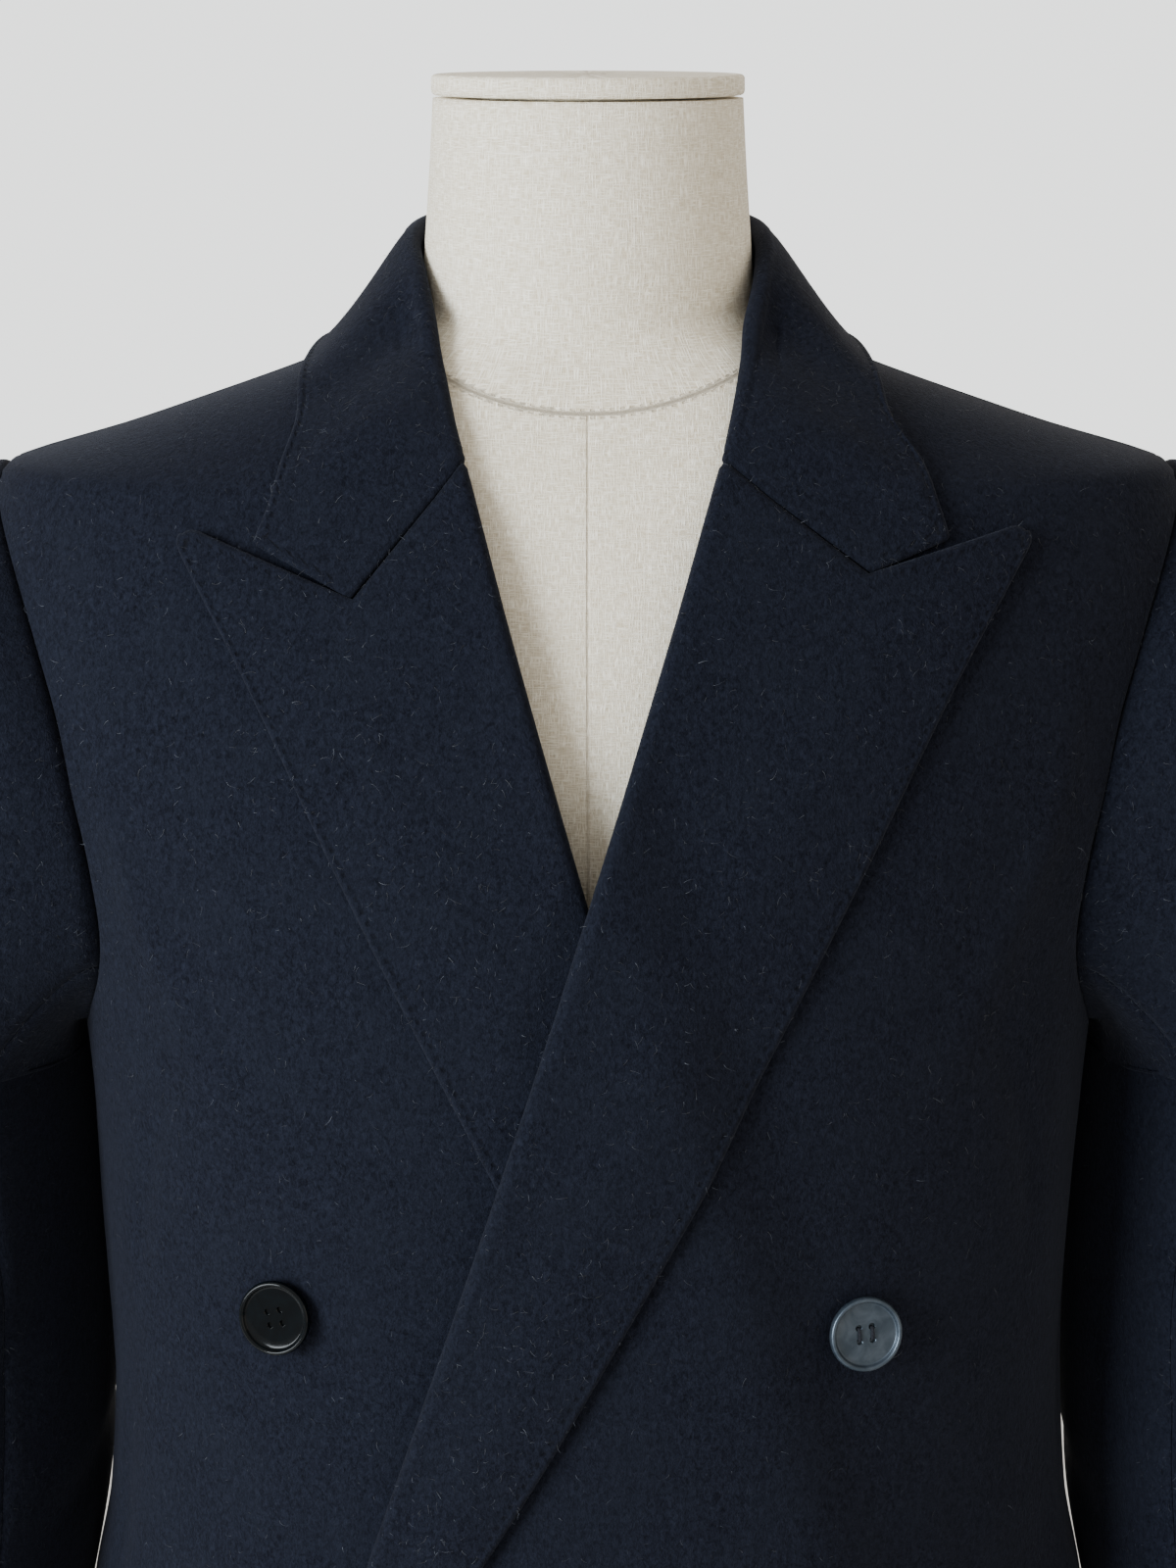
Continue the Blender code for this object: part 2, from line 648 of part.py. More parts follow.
def add_collar(material):
    folds = {}
    for side, sign in SIDES.items():
        start = np.array(front_point(side, roll_line(side, GORGE_HEIGHT), GORGE_HEIGHT, COLLAR_ROLL_OFFSET))
        folds[side] = [start] + [np.array((sign * (row[0] + out), row[1], row[2]))
                                 for row, out in zip(COLLAR_STATIONS, COLLAR_FOLD_OUT[side])]
    ends = {side: collar_front_row(side) for side in SIDES}
    middle = {side: (np.array(ends[side][0]) + np.array(ends[side][1])) / 2 for side in SIDES}
    rows = [list(middle["left"])]
    count = len(COLLAR_STATIONS)
    for station in range(count):
        before = folds["left"][station]
        after = folds["left"][station + 2] if station + 2 <= count else folds["right"][station]
        rows.append(collar_section("left", station, before, after))
    for station in range(count - 2, -1, -1):
        before = folds["right"][station]
        after = folds["right"][station + 2]
        rows.append(collar_section("right", station, before, after))
    rows.append(list(middle["right"]))
    grid = np.array(rows)
    normals = grid_normals(grid)
    centre_back, leaf = count, grid.shape[1] - 3
    if normals[centre_back][leaf][1] < 0:
        normals = -normals
    columns = grid.shape[1]
    half = np.array([CLOTH / 2 + (TURNED_CLOTH - CLOTH) / 2 * min(i / 6, 1.0) for i in range(columns)])
    inner = grid - normals * half[None, :, None]
    outer = grid + normals * half[None, :, None]
    for row, side in ((0, "left"), (-1, "right")):
        inner[row], outer[row] = np.array(ends[side][0]), np.array(ends[side][1])
    return add_wall("collar", inner, outer, material)


# ---- sleeves --------------------------------------------------------------------------------
def armhole_ring(side):
    """Edge points of the armhole and their outward normals, from the shoulder round the front."""
    sign = SIDES[side]
    edge = [(armhole_front(z), z) for z in ARMHOLE_ROWS[::-1]]
    edge += [(armhole_back(z), z) for z in ARMHOLE_ROWS[1:-1]]
    points = [body_point(sign * angle, z, 0.0) for angle, z in edge]
    normals = [surface_normal(sign * angle, z) for angle, z in edge]
    return points, normals


def sleeve_rings(side):
    """Middle points of the sleeve, ring by ring from the armhole seam to the cuff."""
    sign = SIDES[side]
    points, normals = armhole_ring(side)
    centre = sum(points) / len(points)
    start, raised = [], []
    for point, normal in zip(points, normals):
        into = centre - point
        into = unit(into - normal * np.dot(into, normal))
        seat = point + into * (SEAM_GAP + CLOTH / 2 + SLEEVE_SEAT_GAP)
        start.append(seat + normal * SLEEVE_SEAT_GAP / 2)
        raised.append(seat + normal * (CLOTH + SLEEVE_HEAD_RISE))
    count = len(points)
    heights = [row[0] for row in SLEEVE_SECTIONS][::-1]
    columns = list(zip(*SLEEVE_SECTIONS[::-1]))
    centre_x, centre_y, width, depth = [smooth_curve(heights, columns[i]) for i in range(1, 5)]

    def ring_at(z):
        ring = []
        for index in range(count):
            turn = 2 * math.pi * index / count
            y = centre_y(z) - depth(z) * math.sin(turn)
            x = centre_x(z) + width(z) * math.cos(turn) - SLEEVE_TURN * (y - centre_y(z))
            ring.append(np.array((sign * x, y, z)))
        return ring

    biceps = ring_at(SLEEVE_SECTIONS[0][0])
    outward, down = np.array((sign, 0.0, 0.0)), np.array((0.0, 0.0, -1.0))
    rings = [start, raised]
    for step in range(1, SLEEVE_HEAD_RINGS + 1):
        u = step / (SLEEVE_HEAD_RINGS + 1)
        ring = []
        for index in range(count):
            gap = np.linalg.norm(biceps[index] - raised[index])
            low = ease((SLEEVE_DROP_TOP - points[index][2]) / SLEEVE_DROP_EASE)
            leave = normals[index] * (1 - 0.8 * low) + outward * 0.8 * low + down * 0.35 * low
            leave = unit(leave) * gap * SLEEVE_FULLNESS
            arrive = down * gap * (1 - 0.35 * low)
            ring.append(raised[index] * (1 + 2 * u) * (1 - u) ** 2 + leave * u * (1 - u) ** 2
                        + biceps[index] * u * u * (3 - 2 * u) + arrive * u * u * (u - 1))
        rings.append(ring)
    rings += [ring_at(row[0]) for row in SLEEVE_SECTIONS]
    return np.array(rings)


def add_sleeve(side, material):
    rings = sleeve_rings(side)
    count = rings.shape[1]
    wrapped = np.concatenate((rings[:, -1:], rings, rings[:, :1]), axis=1)
    around = (wrapped[:, 2:] - wrapped[:, :-2])
    down = np.gradient(rings, axis=0)
    normals = np.cross(around, down)
    normals /= np.linalg.norm(normals, axis=2, keepdims=True)
    lowest = rings[-1]
    if np.dot(normals[-1][0], lowest[0] - lowest.mean(axis=0)) < 0:
        normals = -normals
    inner, outer = rings - normals * CLOTH / 2, rings + normals * CLOTH / 2
    front_seam, back_seam = FRONT_SLEEVE_SEAM, BACK_SLEEVE_SEAM
    parts = {"under": list(range(front_seam, back_seam + 1)),
             "top": list(range(back_seam, count)) + list(range(0, front_seam + 1))}
    pieces = []
    for part, columns in parts.items():
        grids = []
        for grid in (inner, outer):
            half = grid[:, columns].copy()
            for edge, next_in in ((0, 1), (-1, -2)):
                step = half[:, next_in] - half[:, edge]
                step /= np.linalg.norm(step, axis=1, keepdims=True)
                half[:, edge] += step * SEAM_GAP / 2
            grids.append(half)
        pieces.append(add_wall(f"sleeve_{side}_{part}", grids[0], grids[1], material))
    return pieces


# ---- buttons --------------------------------------------------------------------------------
def button_mesh(material):
    """A four-hole coat button with a raised round rim, a dished face and a short thread shank."""
    radius, thick = BUTTON_RADIUS, BUTTON_THICKNESS
    profile = (
        (SHANK_RADIUS, -BUTTON_LIFT), (SHANK_RADIUS, 0.0), (radius * 0.88, 0.0), (radius, thick * 0.50),
        (radius * 0.95, thick * 0.93), (radius * 0.86, thick), (radius * 0.72, thick * 0.62),
    )
    button = add_rings("button_blank", turned_rings(profile, BUTTON_SIDES), material, 30.0)
    spacing, hole = radius * 0.17, radius * 0.085
    drills = []
    for across in (-1, 1):
        for along in (-1, 1):
            rings = turned_rings(((hole, 0.0008), (hole, 0.02)), 6, (across * spacing, along * spacing))
            drills.append(add_rings("drill", rings, material))
    for drill in drills:
        drill.hide_render = True
        cut = button.modifiers.new("hole", "BOOLEAN")
        cut.operation = "DIFFERENCE"
        cut.object = drill
    bpy.context.view_layer.update()
    shape = button.evaluated_get(bpy.context.evaluated_depsgraph_get())
    mesh = bpy.data.meshes.new_from_object(shape)
    for guide in drills + [button]:
        bpy.data.objects.remove(guide)
    mesh.materials.clear()
    mesh.materials.append(material)
    return mesh


def add_buttons(material):
    mesh = button_mesh(material)
    numbers = {"left": 0, "right": 0}
    for side, height, reach, carrier, extra in BUTTONS:
        numbers[side] += 1
        own_reach = reach if side == carrier else -reach
        x = SIDES[side] * reach
        normal = surface_normal(angle_at(x, height), height)
        seat = front_point(carrier, own_reach, height, CLOTH + SEAM_GAP + BUTTON_LIFT + BUTTON_CLEARANCE + extra)
        normal = unit(normal * (1 - BUTTON_TURN) + np.array(BUTTON_FACING) * BUTTON_TURN)
        button = bpy.data.objects.new(f"button_{side}_{numbers[side]}", mesh)
        across = unit(np.cross((0.0, 0.0, 1.0), normal))
        upward = np.cross(normal, across)
        button.matrix_world = Matrix.Translation(Vector(seat)) @ Matrix(
            (across, upward, normal)).transposed().to_4x4()
        bpy.context.scene.collection.objects.link(button)


# ---- dress form -----------------------------------------------------------------------------
def superellipse_ring(z, half_width, front, back, power_root):
    ring = []
    for column in range(BUST_COLUMNS):
        turn = 2 * math.pi * column / BUST_COLUMNS
        across, along = math.sin(turn), math.cos(turn)
        power = 2.0 / power_root
        x = half_width * math.copysign(abs(across) ** power, across)
        y = (-front if along > 0 else back) * abs(along) ** power
        ring.append((x, y, z))
    return ring


def add_bust(material):
    bust_width, bust_front, bust_back = column_curves(BUST_SECTIONS)
    low = BUST_BOTTOM
    sizes = [curve(low) - BUST_TURN_UNDER for curve in (bust_width, bust_front, bust_back)]
    rings = [superellipse_ring(low - BUST_TURN_UNDER, *sizes, ROUNDNESS)]
    rings += [superellipse_ring(z, bust_width(z), bust_front(z), bust_back(z), ROUNDNESS) for z in BUST_ROWS]
    for z in SHOULDER_ROWS:
        ring = []
        for column in range(BUST_COLUMNS):
            angle = 360.0 * column / BUST_COLUMNS
            ring.append(tuple(section_point(angle, z) + surface_normal(angle, z) * SEAT_OFFSET))
        rings.append(ring)
    for z, radius, centre_y in NECK_SECTIONS:
        ring = superellipse_ring(z, radius, radius, radius, 2.0)
        rings.append([(x, y + centre_y, height) for x, y, height in ring])
    return add_rings("form_bust", rings, material)


def add_stand(metal, wood, linen):
    rim = 0.0012
    add_rings("form_cap", turned_rings((
        (CAP_RADIUS - rim, CAP_BOTTOM - STAND_GAP / 2), (CAP_RADIUS, CAP_BOTTOM + rim),
        (CAP_RADIUS, CAP_TOP - rim), (CAP_RADIUS - rim, CAP_TOP)), BUST_COLUMNS, (0.0, NECK_CENTRE_Y)), linen)
    top = BUST_BOTTOM - BUST_TURN_UNDER - STAND_GAP
    foot = top - SOCKET_LENGTH
    add_rings("form_socket", turned_rings((
        (SOCKET_RADIUS - 0.002, foot), (SOCKET_RADIUS, foot + 0.002), (SOCKET_RADIUS, top - SOCKET_PLATE),
        (SOCKET_TOP_RADIUS, top - SOCKET_PLATE), (SOCKET_TOP_RADIUS, top)), POLE_SIDES), metal, 30.0)
    boss_top = BASE_THICKNESS + BOSS_HEIGHT
    add_rings("form_pole", turned_rings((
        (POLE_RADIUS, boss_top + STAND_GAP), (POLE_RADIUS, foot - STAND_GAP)), POLE_SIDES), metal, 30.0)
    bevel = 0.004
    add_rings("form_base", turned_rings((
        (BASE_RADIUS - bevel, 0.0), (BASE_RADIUS, bevel), (BASE_RADIUS, BASE_THICKNESS - bevel),
        (BASE_RADIUS - bevel, BASE_THICKNESS), (BOSS_RADIUS + 0.006, BASE_THICKNESS + 0.002),
        (BOSS_RADIUS, boss_top)), 40), wood, 30.0)


def main():
    for existing in list(bpy.data.objects):
        bpy.data.objects.remove(existing)
    wool = add_material("navy_wool", (0.012, 0.015, 0.025), 0.95)
    horn = add_material("dark_button", (0.008, 0.010, 0.016), 0.20)
    linen = add_material("cream_linen", (0.66, 0.58, 0.48), 0.90)
    metal = add_material("blackened_steel", (0.05, 0.05, 0.05), 0.40, 1.0)
    wood = add_material("dark_wood", (0.10, 0.05, 0.03), 0.50)
    for side in SIDES:
        add_front(side, wool)
        add_back(side, wool)
        add_lapel(side, wool)
        add_sleeve(side, wool)
    add_collar(wool)
    add_buttons(horn)
    add_bust(linen)
    add_stand(metal, wood, linen)


main()
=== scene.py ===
"""The looks of the wool overcoat on its dress form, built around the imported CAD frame.

Each cloth piece is a fine grid of points on the coat's surface with a thickness, rounded edges and
soft creases. The surface functions and their sizes, in metres, are the CAD model's.
"""
import math

import bmesh
import bpy
import numpy as np
from mathutils import Matrix, Vector


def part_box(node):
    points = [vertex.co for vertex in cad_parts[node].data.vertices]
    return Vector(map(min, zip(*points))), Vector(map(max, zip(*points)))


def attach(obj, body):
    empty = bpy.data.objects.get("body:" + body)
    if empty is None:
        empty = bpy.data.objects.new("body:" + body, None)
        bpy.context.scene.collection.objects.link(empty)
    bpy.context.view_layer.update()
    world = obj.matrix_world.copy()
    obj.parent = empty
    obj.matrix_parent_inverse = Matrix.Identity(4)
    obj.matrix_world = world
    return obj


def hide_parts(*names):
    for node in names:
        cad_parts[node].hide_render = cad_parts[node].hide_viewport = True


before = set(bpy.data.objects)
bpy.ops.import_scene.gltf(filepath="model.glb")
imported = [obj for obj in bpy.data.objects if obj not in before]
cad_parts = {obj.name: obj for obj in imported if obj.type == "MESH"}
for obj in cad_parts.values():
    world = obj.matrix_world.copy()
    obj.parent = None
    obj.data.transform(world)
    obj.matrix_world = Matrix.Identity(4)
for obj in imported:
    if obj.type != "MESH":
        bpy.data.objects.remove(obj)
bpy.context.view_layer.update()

# ---- sizes shared with the CAD model ----
CLOTH = 0.0024
TURNED_CLOTH = 0.0028
SEAM_GAP = 0.0004
HEM_HEIGHT = 0.390
UNDERARM_HEIGHT = 1.205
SHOULDER_POINT_HEIGHT = 1.441
NECK_SEAM_HEIGHT = 1.497
SIDE_SEAM_ANGLE = 94.0
ROUNDNESS = 2.2
V_HEIGHT = 1.2895
ROLL_SLOPE = {"left": 0.315, "right": 0.289}
OVERLAP = 0.130
GORGE_HEIGHT = 1.4537
LAPEL_END_HEIGHT = 0.955
RIGHT_FRONT_LIFT = 0.0036
RIGHT_LAPEL_LIFT = 0.0041
LIFT_MARGIN = 0.010
LIFT_EASE = 0.040
LAPEL_LIFT_FROM = (0.900, 0.035)   # height where the left front starts to clear the right lapel, its rise
LAPEL_OFFSET = 0.0049
UNDER_TURN = 0.008
PANEL_BACK_OFF = 0.0092
BACK_OFF_FROM = 0.935
BUTTON_RADIUS = 0.015
BUTTON_THICKNESS = 0.0042
BUTTON_LIFT = 0.0030
BUTTON_TURN = 0.33
BUTTON_FACING = (0.0, -0.92, 0.39)
BUTTON_CLEARANCE = 0.0004
SHANK_RADIUS = 0.0020
BASE_THICKNESS = 0.018
NECK_CENTRE_Y = 0.006
SEAT_OFFSET = -0.0013
COLLAR_FOLD_RADIUS = 0.0028
COLLAR_EXTRA_LIFT = 0.0018
COLLAR_FOLD_OUT = {          # the fold line's sideways shift at each station
    "left": (0.0004, 0.0018, 0.0029, 0.0015) + (0.0,) * 5,
    "right": (-0.0033, -0.0018, 0.0004, -0.0008) + (0.0,) * 5,
}
COLLAR_WIDER = {             # degrees that the outer edge lies further out, at each station
    "left": (3.5, 3.7, 2.4, 0.8) + (0.0,) * 5,
    "right": (0.0,) * 9,
}
COLLAR_SPREAD = {"left": 0.45, "right": 0.36}
SLEEVE_HEAD_RINGS = 5
SLEEVE_HEAD_RISE = 0.005
SLEEVE_TURN = 0.20
SLEEVE_DROP_TOP = 1.400
SLEEVE_DROP_EASE = 0.120
SLEEVE_FULLNESS = 0.48
FRONT_SLEEVE_SEAM = 7
BACK_SLEEVE_SEAM = 14

# Inner face of the coat: height, half width, depth in front, depth behind.
COAT_SECTIONS = (
    (0.390, 0.2620, 0.186, 0.186), (0.600, 0.2480, 0.178, 0.172), (0.800, 0.2340, 0.170, 0.158),
    (0.950, 0.2170, 0.163, 0.148), (1.000, 0.2075, 0.158, 0.140), (1.070, 0.2035, 0.154, 0.132),
    (1.140, 0.2060, 0.153, 0.133), (1.180, 0.2080, 0.153, 0.134), (1.250, 0.2150, 0.150, 0.140),
    (1.330, 0.2360, 0.138, 0.143), (1.400, 0.2430, 0.118, 0.135), (1.442, 0.2375, 0.096, 0.120),
    (1.449, 0.2180, 0.092, 0.117), (1.454, 0.2000, 0.089, 0.115), (1.4672, 0.1600, 0.080, 0.109),
    (1.481, 0.1206, 0.071, 0.102), (1.491, 0.0950, 0.064, 0.096), (1.497, 0.0820, 0.060, 0.091),
)
# Soft folds of the skirt: direction, half width (degrees), depth, height of the top.
SKIRT_FOLDS = (
    (62.0, 9.0, 0.012, 1.00), (84.0, 9.0, -0.005, 0.92), (118.0, 10.0, 0.016, 0.98),
    (150.0, 8.0, 0.010, 0.90), (-60.0, 9.0, 0.013, 1.02), (-86.0, 10.0, -0.006, 0.90),
    (-112.0, 10.0, 0.014, 0.95), (-148.0, 9.0, 0.012, 0.88),
)
SKIRT_ROWS = (0.390, 0.500, 0.620, 0.740, 0.850, 0.935, 0.955, 1.000, 1.070, 1.140, 1.180)
ARMHOLE_ROWS = (1.205, 1.212, 1.225, 1.247, 1.277, 1.310, 1.345, 1.380, 1.410, 1.430, 1.441)
SHOULDER_ROWS = (1.449, 1.4585, 1.4672, 1.4755, 1.4837, 1.491, 1.497)
# Armhole edge: height, direction of the front edge and of the back edge.
ARMHOLE_EDGE = (
    (1.205, 94.0, 94.0), (1.212, 82.0, 104.0), (1.225, 73.5, 110.0), (1.247, 65.5, 115.0),
    (1.277, 61.0, 118.0), (1.310, 58.8, 119.5), (1.345, 59.5, 119.0), (1.380, 63.2, 117.0),
    (1.410, 70.0, 112.5), (1.430, 80.0, 105.0), (1.441, 94.0, 94.0),
)
# Neck edge of a front: height, distance from the centre line.
NECK_EDGE = ((1.4537, 0.0634), (1.4672, 0.0655), (1.4810, 0.0670), (1.4910, 0.0672), (1.4970, 0.0660))
LAPEL_SHAPE = {
    "left": {"notch": (0.1070, 1.4145), "tip": (0.1755, 1.4322), "corner": (0.1380, 1.4256)},
    "right": {"notch": (0.0895, 1.4060), "tip": (0.1630, 1.4325), "corner": (0.1275, 1.4245)},
}
# Outer edge of each lapel: height, distance from the centre line.
LAPEL_EDGE = {
    "left": ((0.8955, -0.1300), (0.950, -0.0910), (1.032, -0.0400), (1.1755, 0.0373),
             (1.300, 0.1010), (1.380, 0.1425), (1.4322, 0.1755)),
    "right": ((0.8955, -0.1210), (0.950, -0.0830), (1.032, -0.0420), (1.1855, 0.0340),
              (1.300, 0.0920), (1.380, 0.1320), (1.4325, 0.1630)),
}
# Sleeve sections: height, centre x, centre y, half width, half depth.
SLEEVE_SECTIONS = (
    (1.190, 0.2665, 0.002, 0.0520, 0.0840), (1.135, 0.2632, 0.002, 0.0510, 0.0820),
    (1.080, 0.2612, -0.001, 0.0500, 0.0790), (1.030, 0.2627, -0.006, 0.0490, 0.0765),
    (0.980, 0.2667, -0.014, 0.0480, 0.0730), (0.930, 0.2735, -0.029, 0.0460, 0.0700),
    (0.865, 0.2835, -0.037, 0.0430, 0.0655), (0.800, 0.2920, -0.045, 0.0400, 0.0610),
)
# Collar stations: fold line x, y, z, then direction and height of the outer edge and neck seam.
COLLAR_STATIONS = (
    (0.0560, -0.0790, 1.4715, 28.5, 1.4390, 0.0, 1.4690),
    (0.0588, -0.0630, 1.4880, 32.5, 1.4520, 0.0, 1.4840),
    (0.0625, -0.0455, 1.5060, 41.5, 1.4660, 52.0, 1.4970),
    (0.0675, -0.0230, 1.5230, 60.0, 1.4785, 72.0, 1.4970),
    (0.0710, 0.0030, 1.5350, 94.0, 1.4855, 94.0, 1.4970),
    (0.0680, 0.0300, 1.5400, 113.0, 1.4865, 116.0, 1.4970),
    (0.0545, 0.0560, 1.5430, 134.0, 1.4865, 138.0, 1.4970),
    (0.0300, 0.0750, 1.5450, 157.0, 1.4860, 159.0, 1.4970),
    (0.0000, 0.0815, 1.5460, 180.0, 1.4855, 180.0, 1.4970),
)
# The form's body, then its neck: height, half width, depth in front and behind; height, radius, centre y.
BUST_SECTIONS = (
    (0.840, 0.1600, 0.112, 0.122), (0.930, 0.1680, 0.118, 0.130), (1.000, 0.1600, 0.116, 0.120),
    (1.070, 0.1520, 0.114, 0.106), (1.150, 0.1640, 0.120, 0.106), (1.250, 0.1860, 0.130, 0.116),
    (1.330, 0.2030, 0.126, 0.124), (1.400, 0.2080, 0.110, 0.122), (1.430, 0.2000, 0.098, 0.116),
)
BUST_ROWS = (0.840, 0.880, 0.930, 0.980, 1.030, 1.080, 1.150, 1.210, 1.270, 1.330, 1.380, 1.410, 1.430)
NECK_SECTIONS = (
    (1.5030, 0.0690, 0.0105), (1.5130, 0.0675, 0.0080), (1.5300, 0.0665, 0.006),
    (1.5500, 0.0650, 0.006), (1.5720, 0.0635, 0.006), (1.5915, 0.0624, 0.006),
)
# Buttons: side, row height, distance from the centre line, front that carries it, longer shank,
# turn of the holes in degrees, and whether the thread bars show.
BUTTONS = (
    ("left", 1.121, 0.1060, "left", 0.0003, 3.0, True),
    ("left", 0.993, 0.1060, "left", 0.0, -8.0, True),
    ("left", 0.865, 0.1060, "left", 0.0003, 12.0, True),
    ("right", 1.125, 0.1200, "right", 0.0, 16.0, False),
    ("right", 0.997, 0.1200, "right", 0.0, -5.0, True),
    ("right", 0.868, 0.1080, "left", 0.0, 7.0, True),
)
SIDES = {"left": 1.0, "right": -1.0}

# ---- how fine the grids are ----
ROW_STEP = 0.0060
FRONT_COLUMNS = 64
BACK_COLUMNS = 44
EDGE_STEPS = (0.0010, 0.0024, 0.0045)   # extra lines of points inside every edge
LAPEL_ROWS = 110
LEAF_COLUMNS = 44
NOTCH_COLUMN = 22
TURN_STEPS = 9                          # points round the roll of a lapel or the collar's fold
UNDER_STEPS = 3                         # and on the short part under it
COLLAR_STEPS = 8
SLEEVE_AROUND_STEPS = 7
SLEEVE_DOWN_STEPS = 9
SEAM_TURN = 0.012                       # degrees between a panel's edge and the middle of its seam
ROUND_EDGE = 0.0011                     # how far an edge's rounding reaches in
EDGE_THINNING = 0.72                    # share of the thickness that is lost at a free edge
SEAM_THINNING = 0.22                    # and at an edge that a seam joins
BEAD = (0.30, 0.0022, 0.0012)           # fuller roll along a stitched edge: share, distance, width
STITCH_DIP = (0.18, 0.0045, 0.0013)     # and the hollow that the stitches pull in behind it


# ---- small maths, over whole arrays ----
def between(start, end, leave, arrive, u):
    """The point at share u of a cubic that leaves the start and reaches the end in given directions."""
    return (start * (1 + 2 * u) * (1 - u) ** 2 + leave * u * (1 - u) ** 2
            + end * u * u * (3 - 2 * u) + arrive * u * u * (u - 1))


def smooth_curve(knots, values):
    """A curve through the knots that never overshoots them (monotone cubic)."""
    knots, values = np.array(knots, float), np.array(values, float)
    spans = np.diff(knots)
    slopes = np.diff(values) / spans
    tangents = np.zeros(len(knots))
    tangents[0], tangents[-1] = slopes[0], slopes[-1]
    for i in range(1, len(knots) - 1):
        if slopes[i - 1] * slopes[i] > 0:
            near, far = 2 * spans[i] + spans[i - 1], spans[i] + 2 * spans[i - 1]
            tangents[i] = (near + far) / (near / slopes[i - 1] + far / slopes[i])

    def at(position):
        position = np.asarray(position, float)
        i = np.clip(np.searchsorted(knots, position) - 1, 0, len(spans) - 1)
        u = np.clip((position - knots[i]) / spans[i], 0.0, 1.0)
        return between(values[i], values[i + 1], spans[i] * tangents[i], spans[i] * tangents[i + 1], u)

    return at


def column_curves(rows):
    columns = list(zip(*rows))
    return [smooth_curve(columns[0], column) for column in columns[1:]]


def ease(u):
    u = np.clip(u, 0.0, 1.0)
    return u * u * (3 - 2 * u)


def unit(vectors):
    return vectors / np.linalg.norm(vectors, axis=-1, keepdims=True)


def finer(grid, steps, closed=False):
    """More rows between the rows of a grid, on smooth curves through them (Catmull-Rom)."""
    if closed:
        padded = np.concatenate((grid[-1:], grid, grid[:2]))
    else:
        padded = np.concatenate((2 * grid[:1] - grid[1:2], grid, 2 * grid[-1:] - grid[-2:-1]))
    made = []
    for i in range(1, len(padded) - 2):
        before, start, end, after = padded[i - 1:i + 3]
        for step in range(steps):
            u = step / steps
            made.append(0.5 * (2 * start + (end - before) * u
                               + (2 * before - 5 * start + 4 * end - after) * u * u
                               + (3 * start - before - 3 * end + after) * u ** 3))
    if not closed:
        made.append(grid[-1])
    return np.array(made)


# ---- the coat's surface ----
coat_width, coat_front, coat_back = column_curves(COAT_SECTIONS)
armhole_front, armhole_back = column_curves(ARMHOLE_EDGE)
(neck_edge,) = column_curves(NECK_EDGE)
lapel_edge = {side: smooth_curve(*zip(*LAPEL_EDGE[side])) for side in SIDES}


def fold_depth(angle, z):
    """How far the skirt's folds move the surface out."""
    depth = np.zeros(np.broadcast(angle, z).shape)
    for direction, half_width, full_depth, top in SKIRT_FOLDS:
        away = np.abs((angle - direction + 180.0) % 360.0 - 180.0) / half_width
        bump = (1 + np.cos(np.pi * np.minimum(away, 1.0))) / 2
        depth = depth + full_depth * ease((top - z) / (top - HEM_HEIGHT)) * bump
    return depth


def section_point(angle, z):
    """A point of the coat's inner face: angle is 0 in front and 90 at the wearer's left."""
    angle, z = np.broadcast_arrays(np.asarray(angle, float), np.asarray(z, float))
    turn = np.radians(angle)
    across, along = np.sin(turn), np.cos(turn)
    power = 2.0 / ROUNDNESS
    x = coat_width(z) * np.sign(across) * np.abs(across) ** power
    depth = np.where(along > 0, -coat_front(z), coat_back(z))
    return np.stack((x, depth * np.abs(along) ** power, z), axis=-1)


def surface_normal(angle, z):
    z = np.asarray(z, float)
    around = section_point(angle + 0.6, z) - section_point(angle - 0.6, z)
    low, high = np.maximum(z - 0.002, HEM_HEIGHT), np.minimum(z + 0.002, NECK_SEAM_HEIGHT)
    return unit(np.cross(around, section_point(angle, high) - section_point(angle, low)))


def body_point(angle, z, offset):
    reach = np.asarray(offset + fold_depth(angle, z))
    return section_point(angle, z) + surface_normal(angle, z) * reach[..., None]


def angle_at(x, z):
    share = np.minimum(np.abs(x) / coat_width(z), 1.0)
    return np.sign(x) * np.degrees(np.arcsin(share ** (ROUNDNESS / 2.0)))


def roll_line(side, z):
    return ROLL_SLOPE[side] * (z - V_HEIGHT)


def overlap_lift(side, x, z):
    """How far the left front lies out, where the right front and its lapel are under it."""
    if side == "right":
        return np.zeros(np.broadcast(x, z).shape)
    level = RIGHT_FRONT_LIFT + RIGHT_LAPEL_LIFT * ease((z - LAPEL_LIFT_FROM[0]) / LAPEL_LIFT_FROM[1])
    right_edge = np.minimum(-roll_line("right", z), OVERLAP)
    return level * ease((right_edge + LIFT_MARGIN + LIFT_EASE - x) / LIFT_EASE)


def front_point(side, reach, z, offset):
    x = SIDES[side] * reach
    return body_point(angle_at(x, z), z, offset + overlap_lift(side, x, z))


def clear_of_body(point, clearance):
    """The point, moved out where it is nearer to the coat's inner face than the clearance."""
    def level(place):
        depth = coat_front(place[2]) if place[1] < 0 else coat_back(place[2])
        return ((abs(place[0]) / coat_width(place[2])) ** ROUNDNESS
                + (abs(place[1]) / depth) ** ROUNDNESS) ** (1 / ROUNDNESS) - 1

    for _ in range(4):
        if point[2] >= NECK_SEAM_HEIGHT - 0.0005:
            return point
        step = 0.0004
        slope = np.array([(level(point + axis) - level(point - axis)) / (2 * step)
                          for axis in np.eye(3) * step])
        height = level(point) / np.linalg.norm(slope)
        if height >= clearance:
            return point
        point = point + unit(slope) * (clearance - height)
    return point


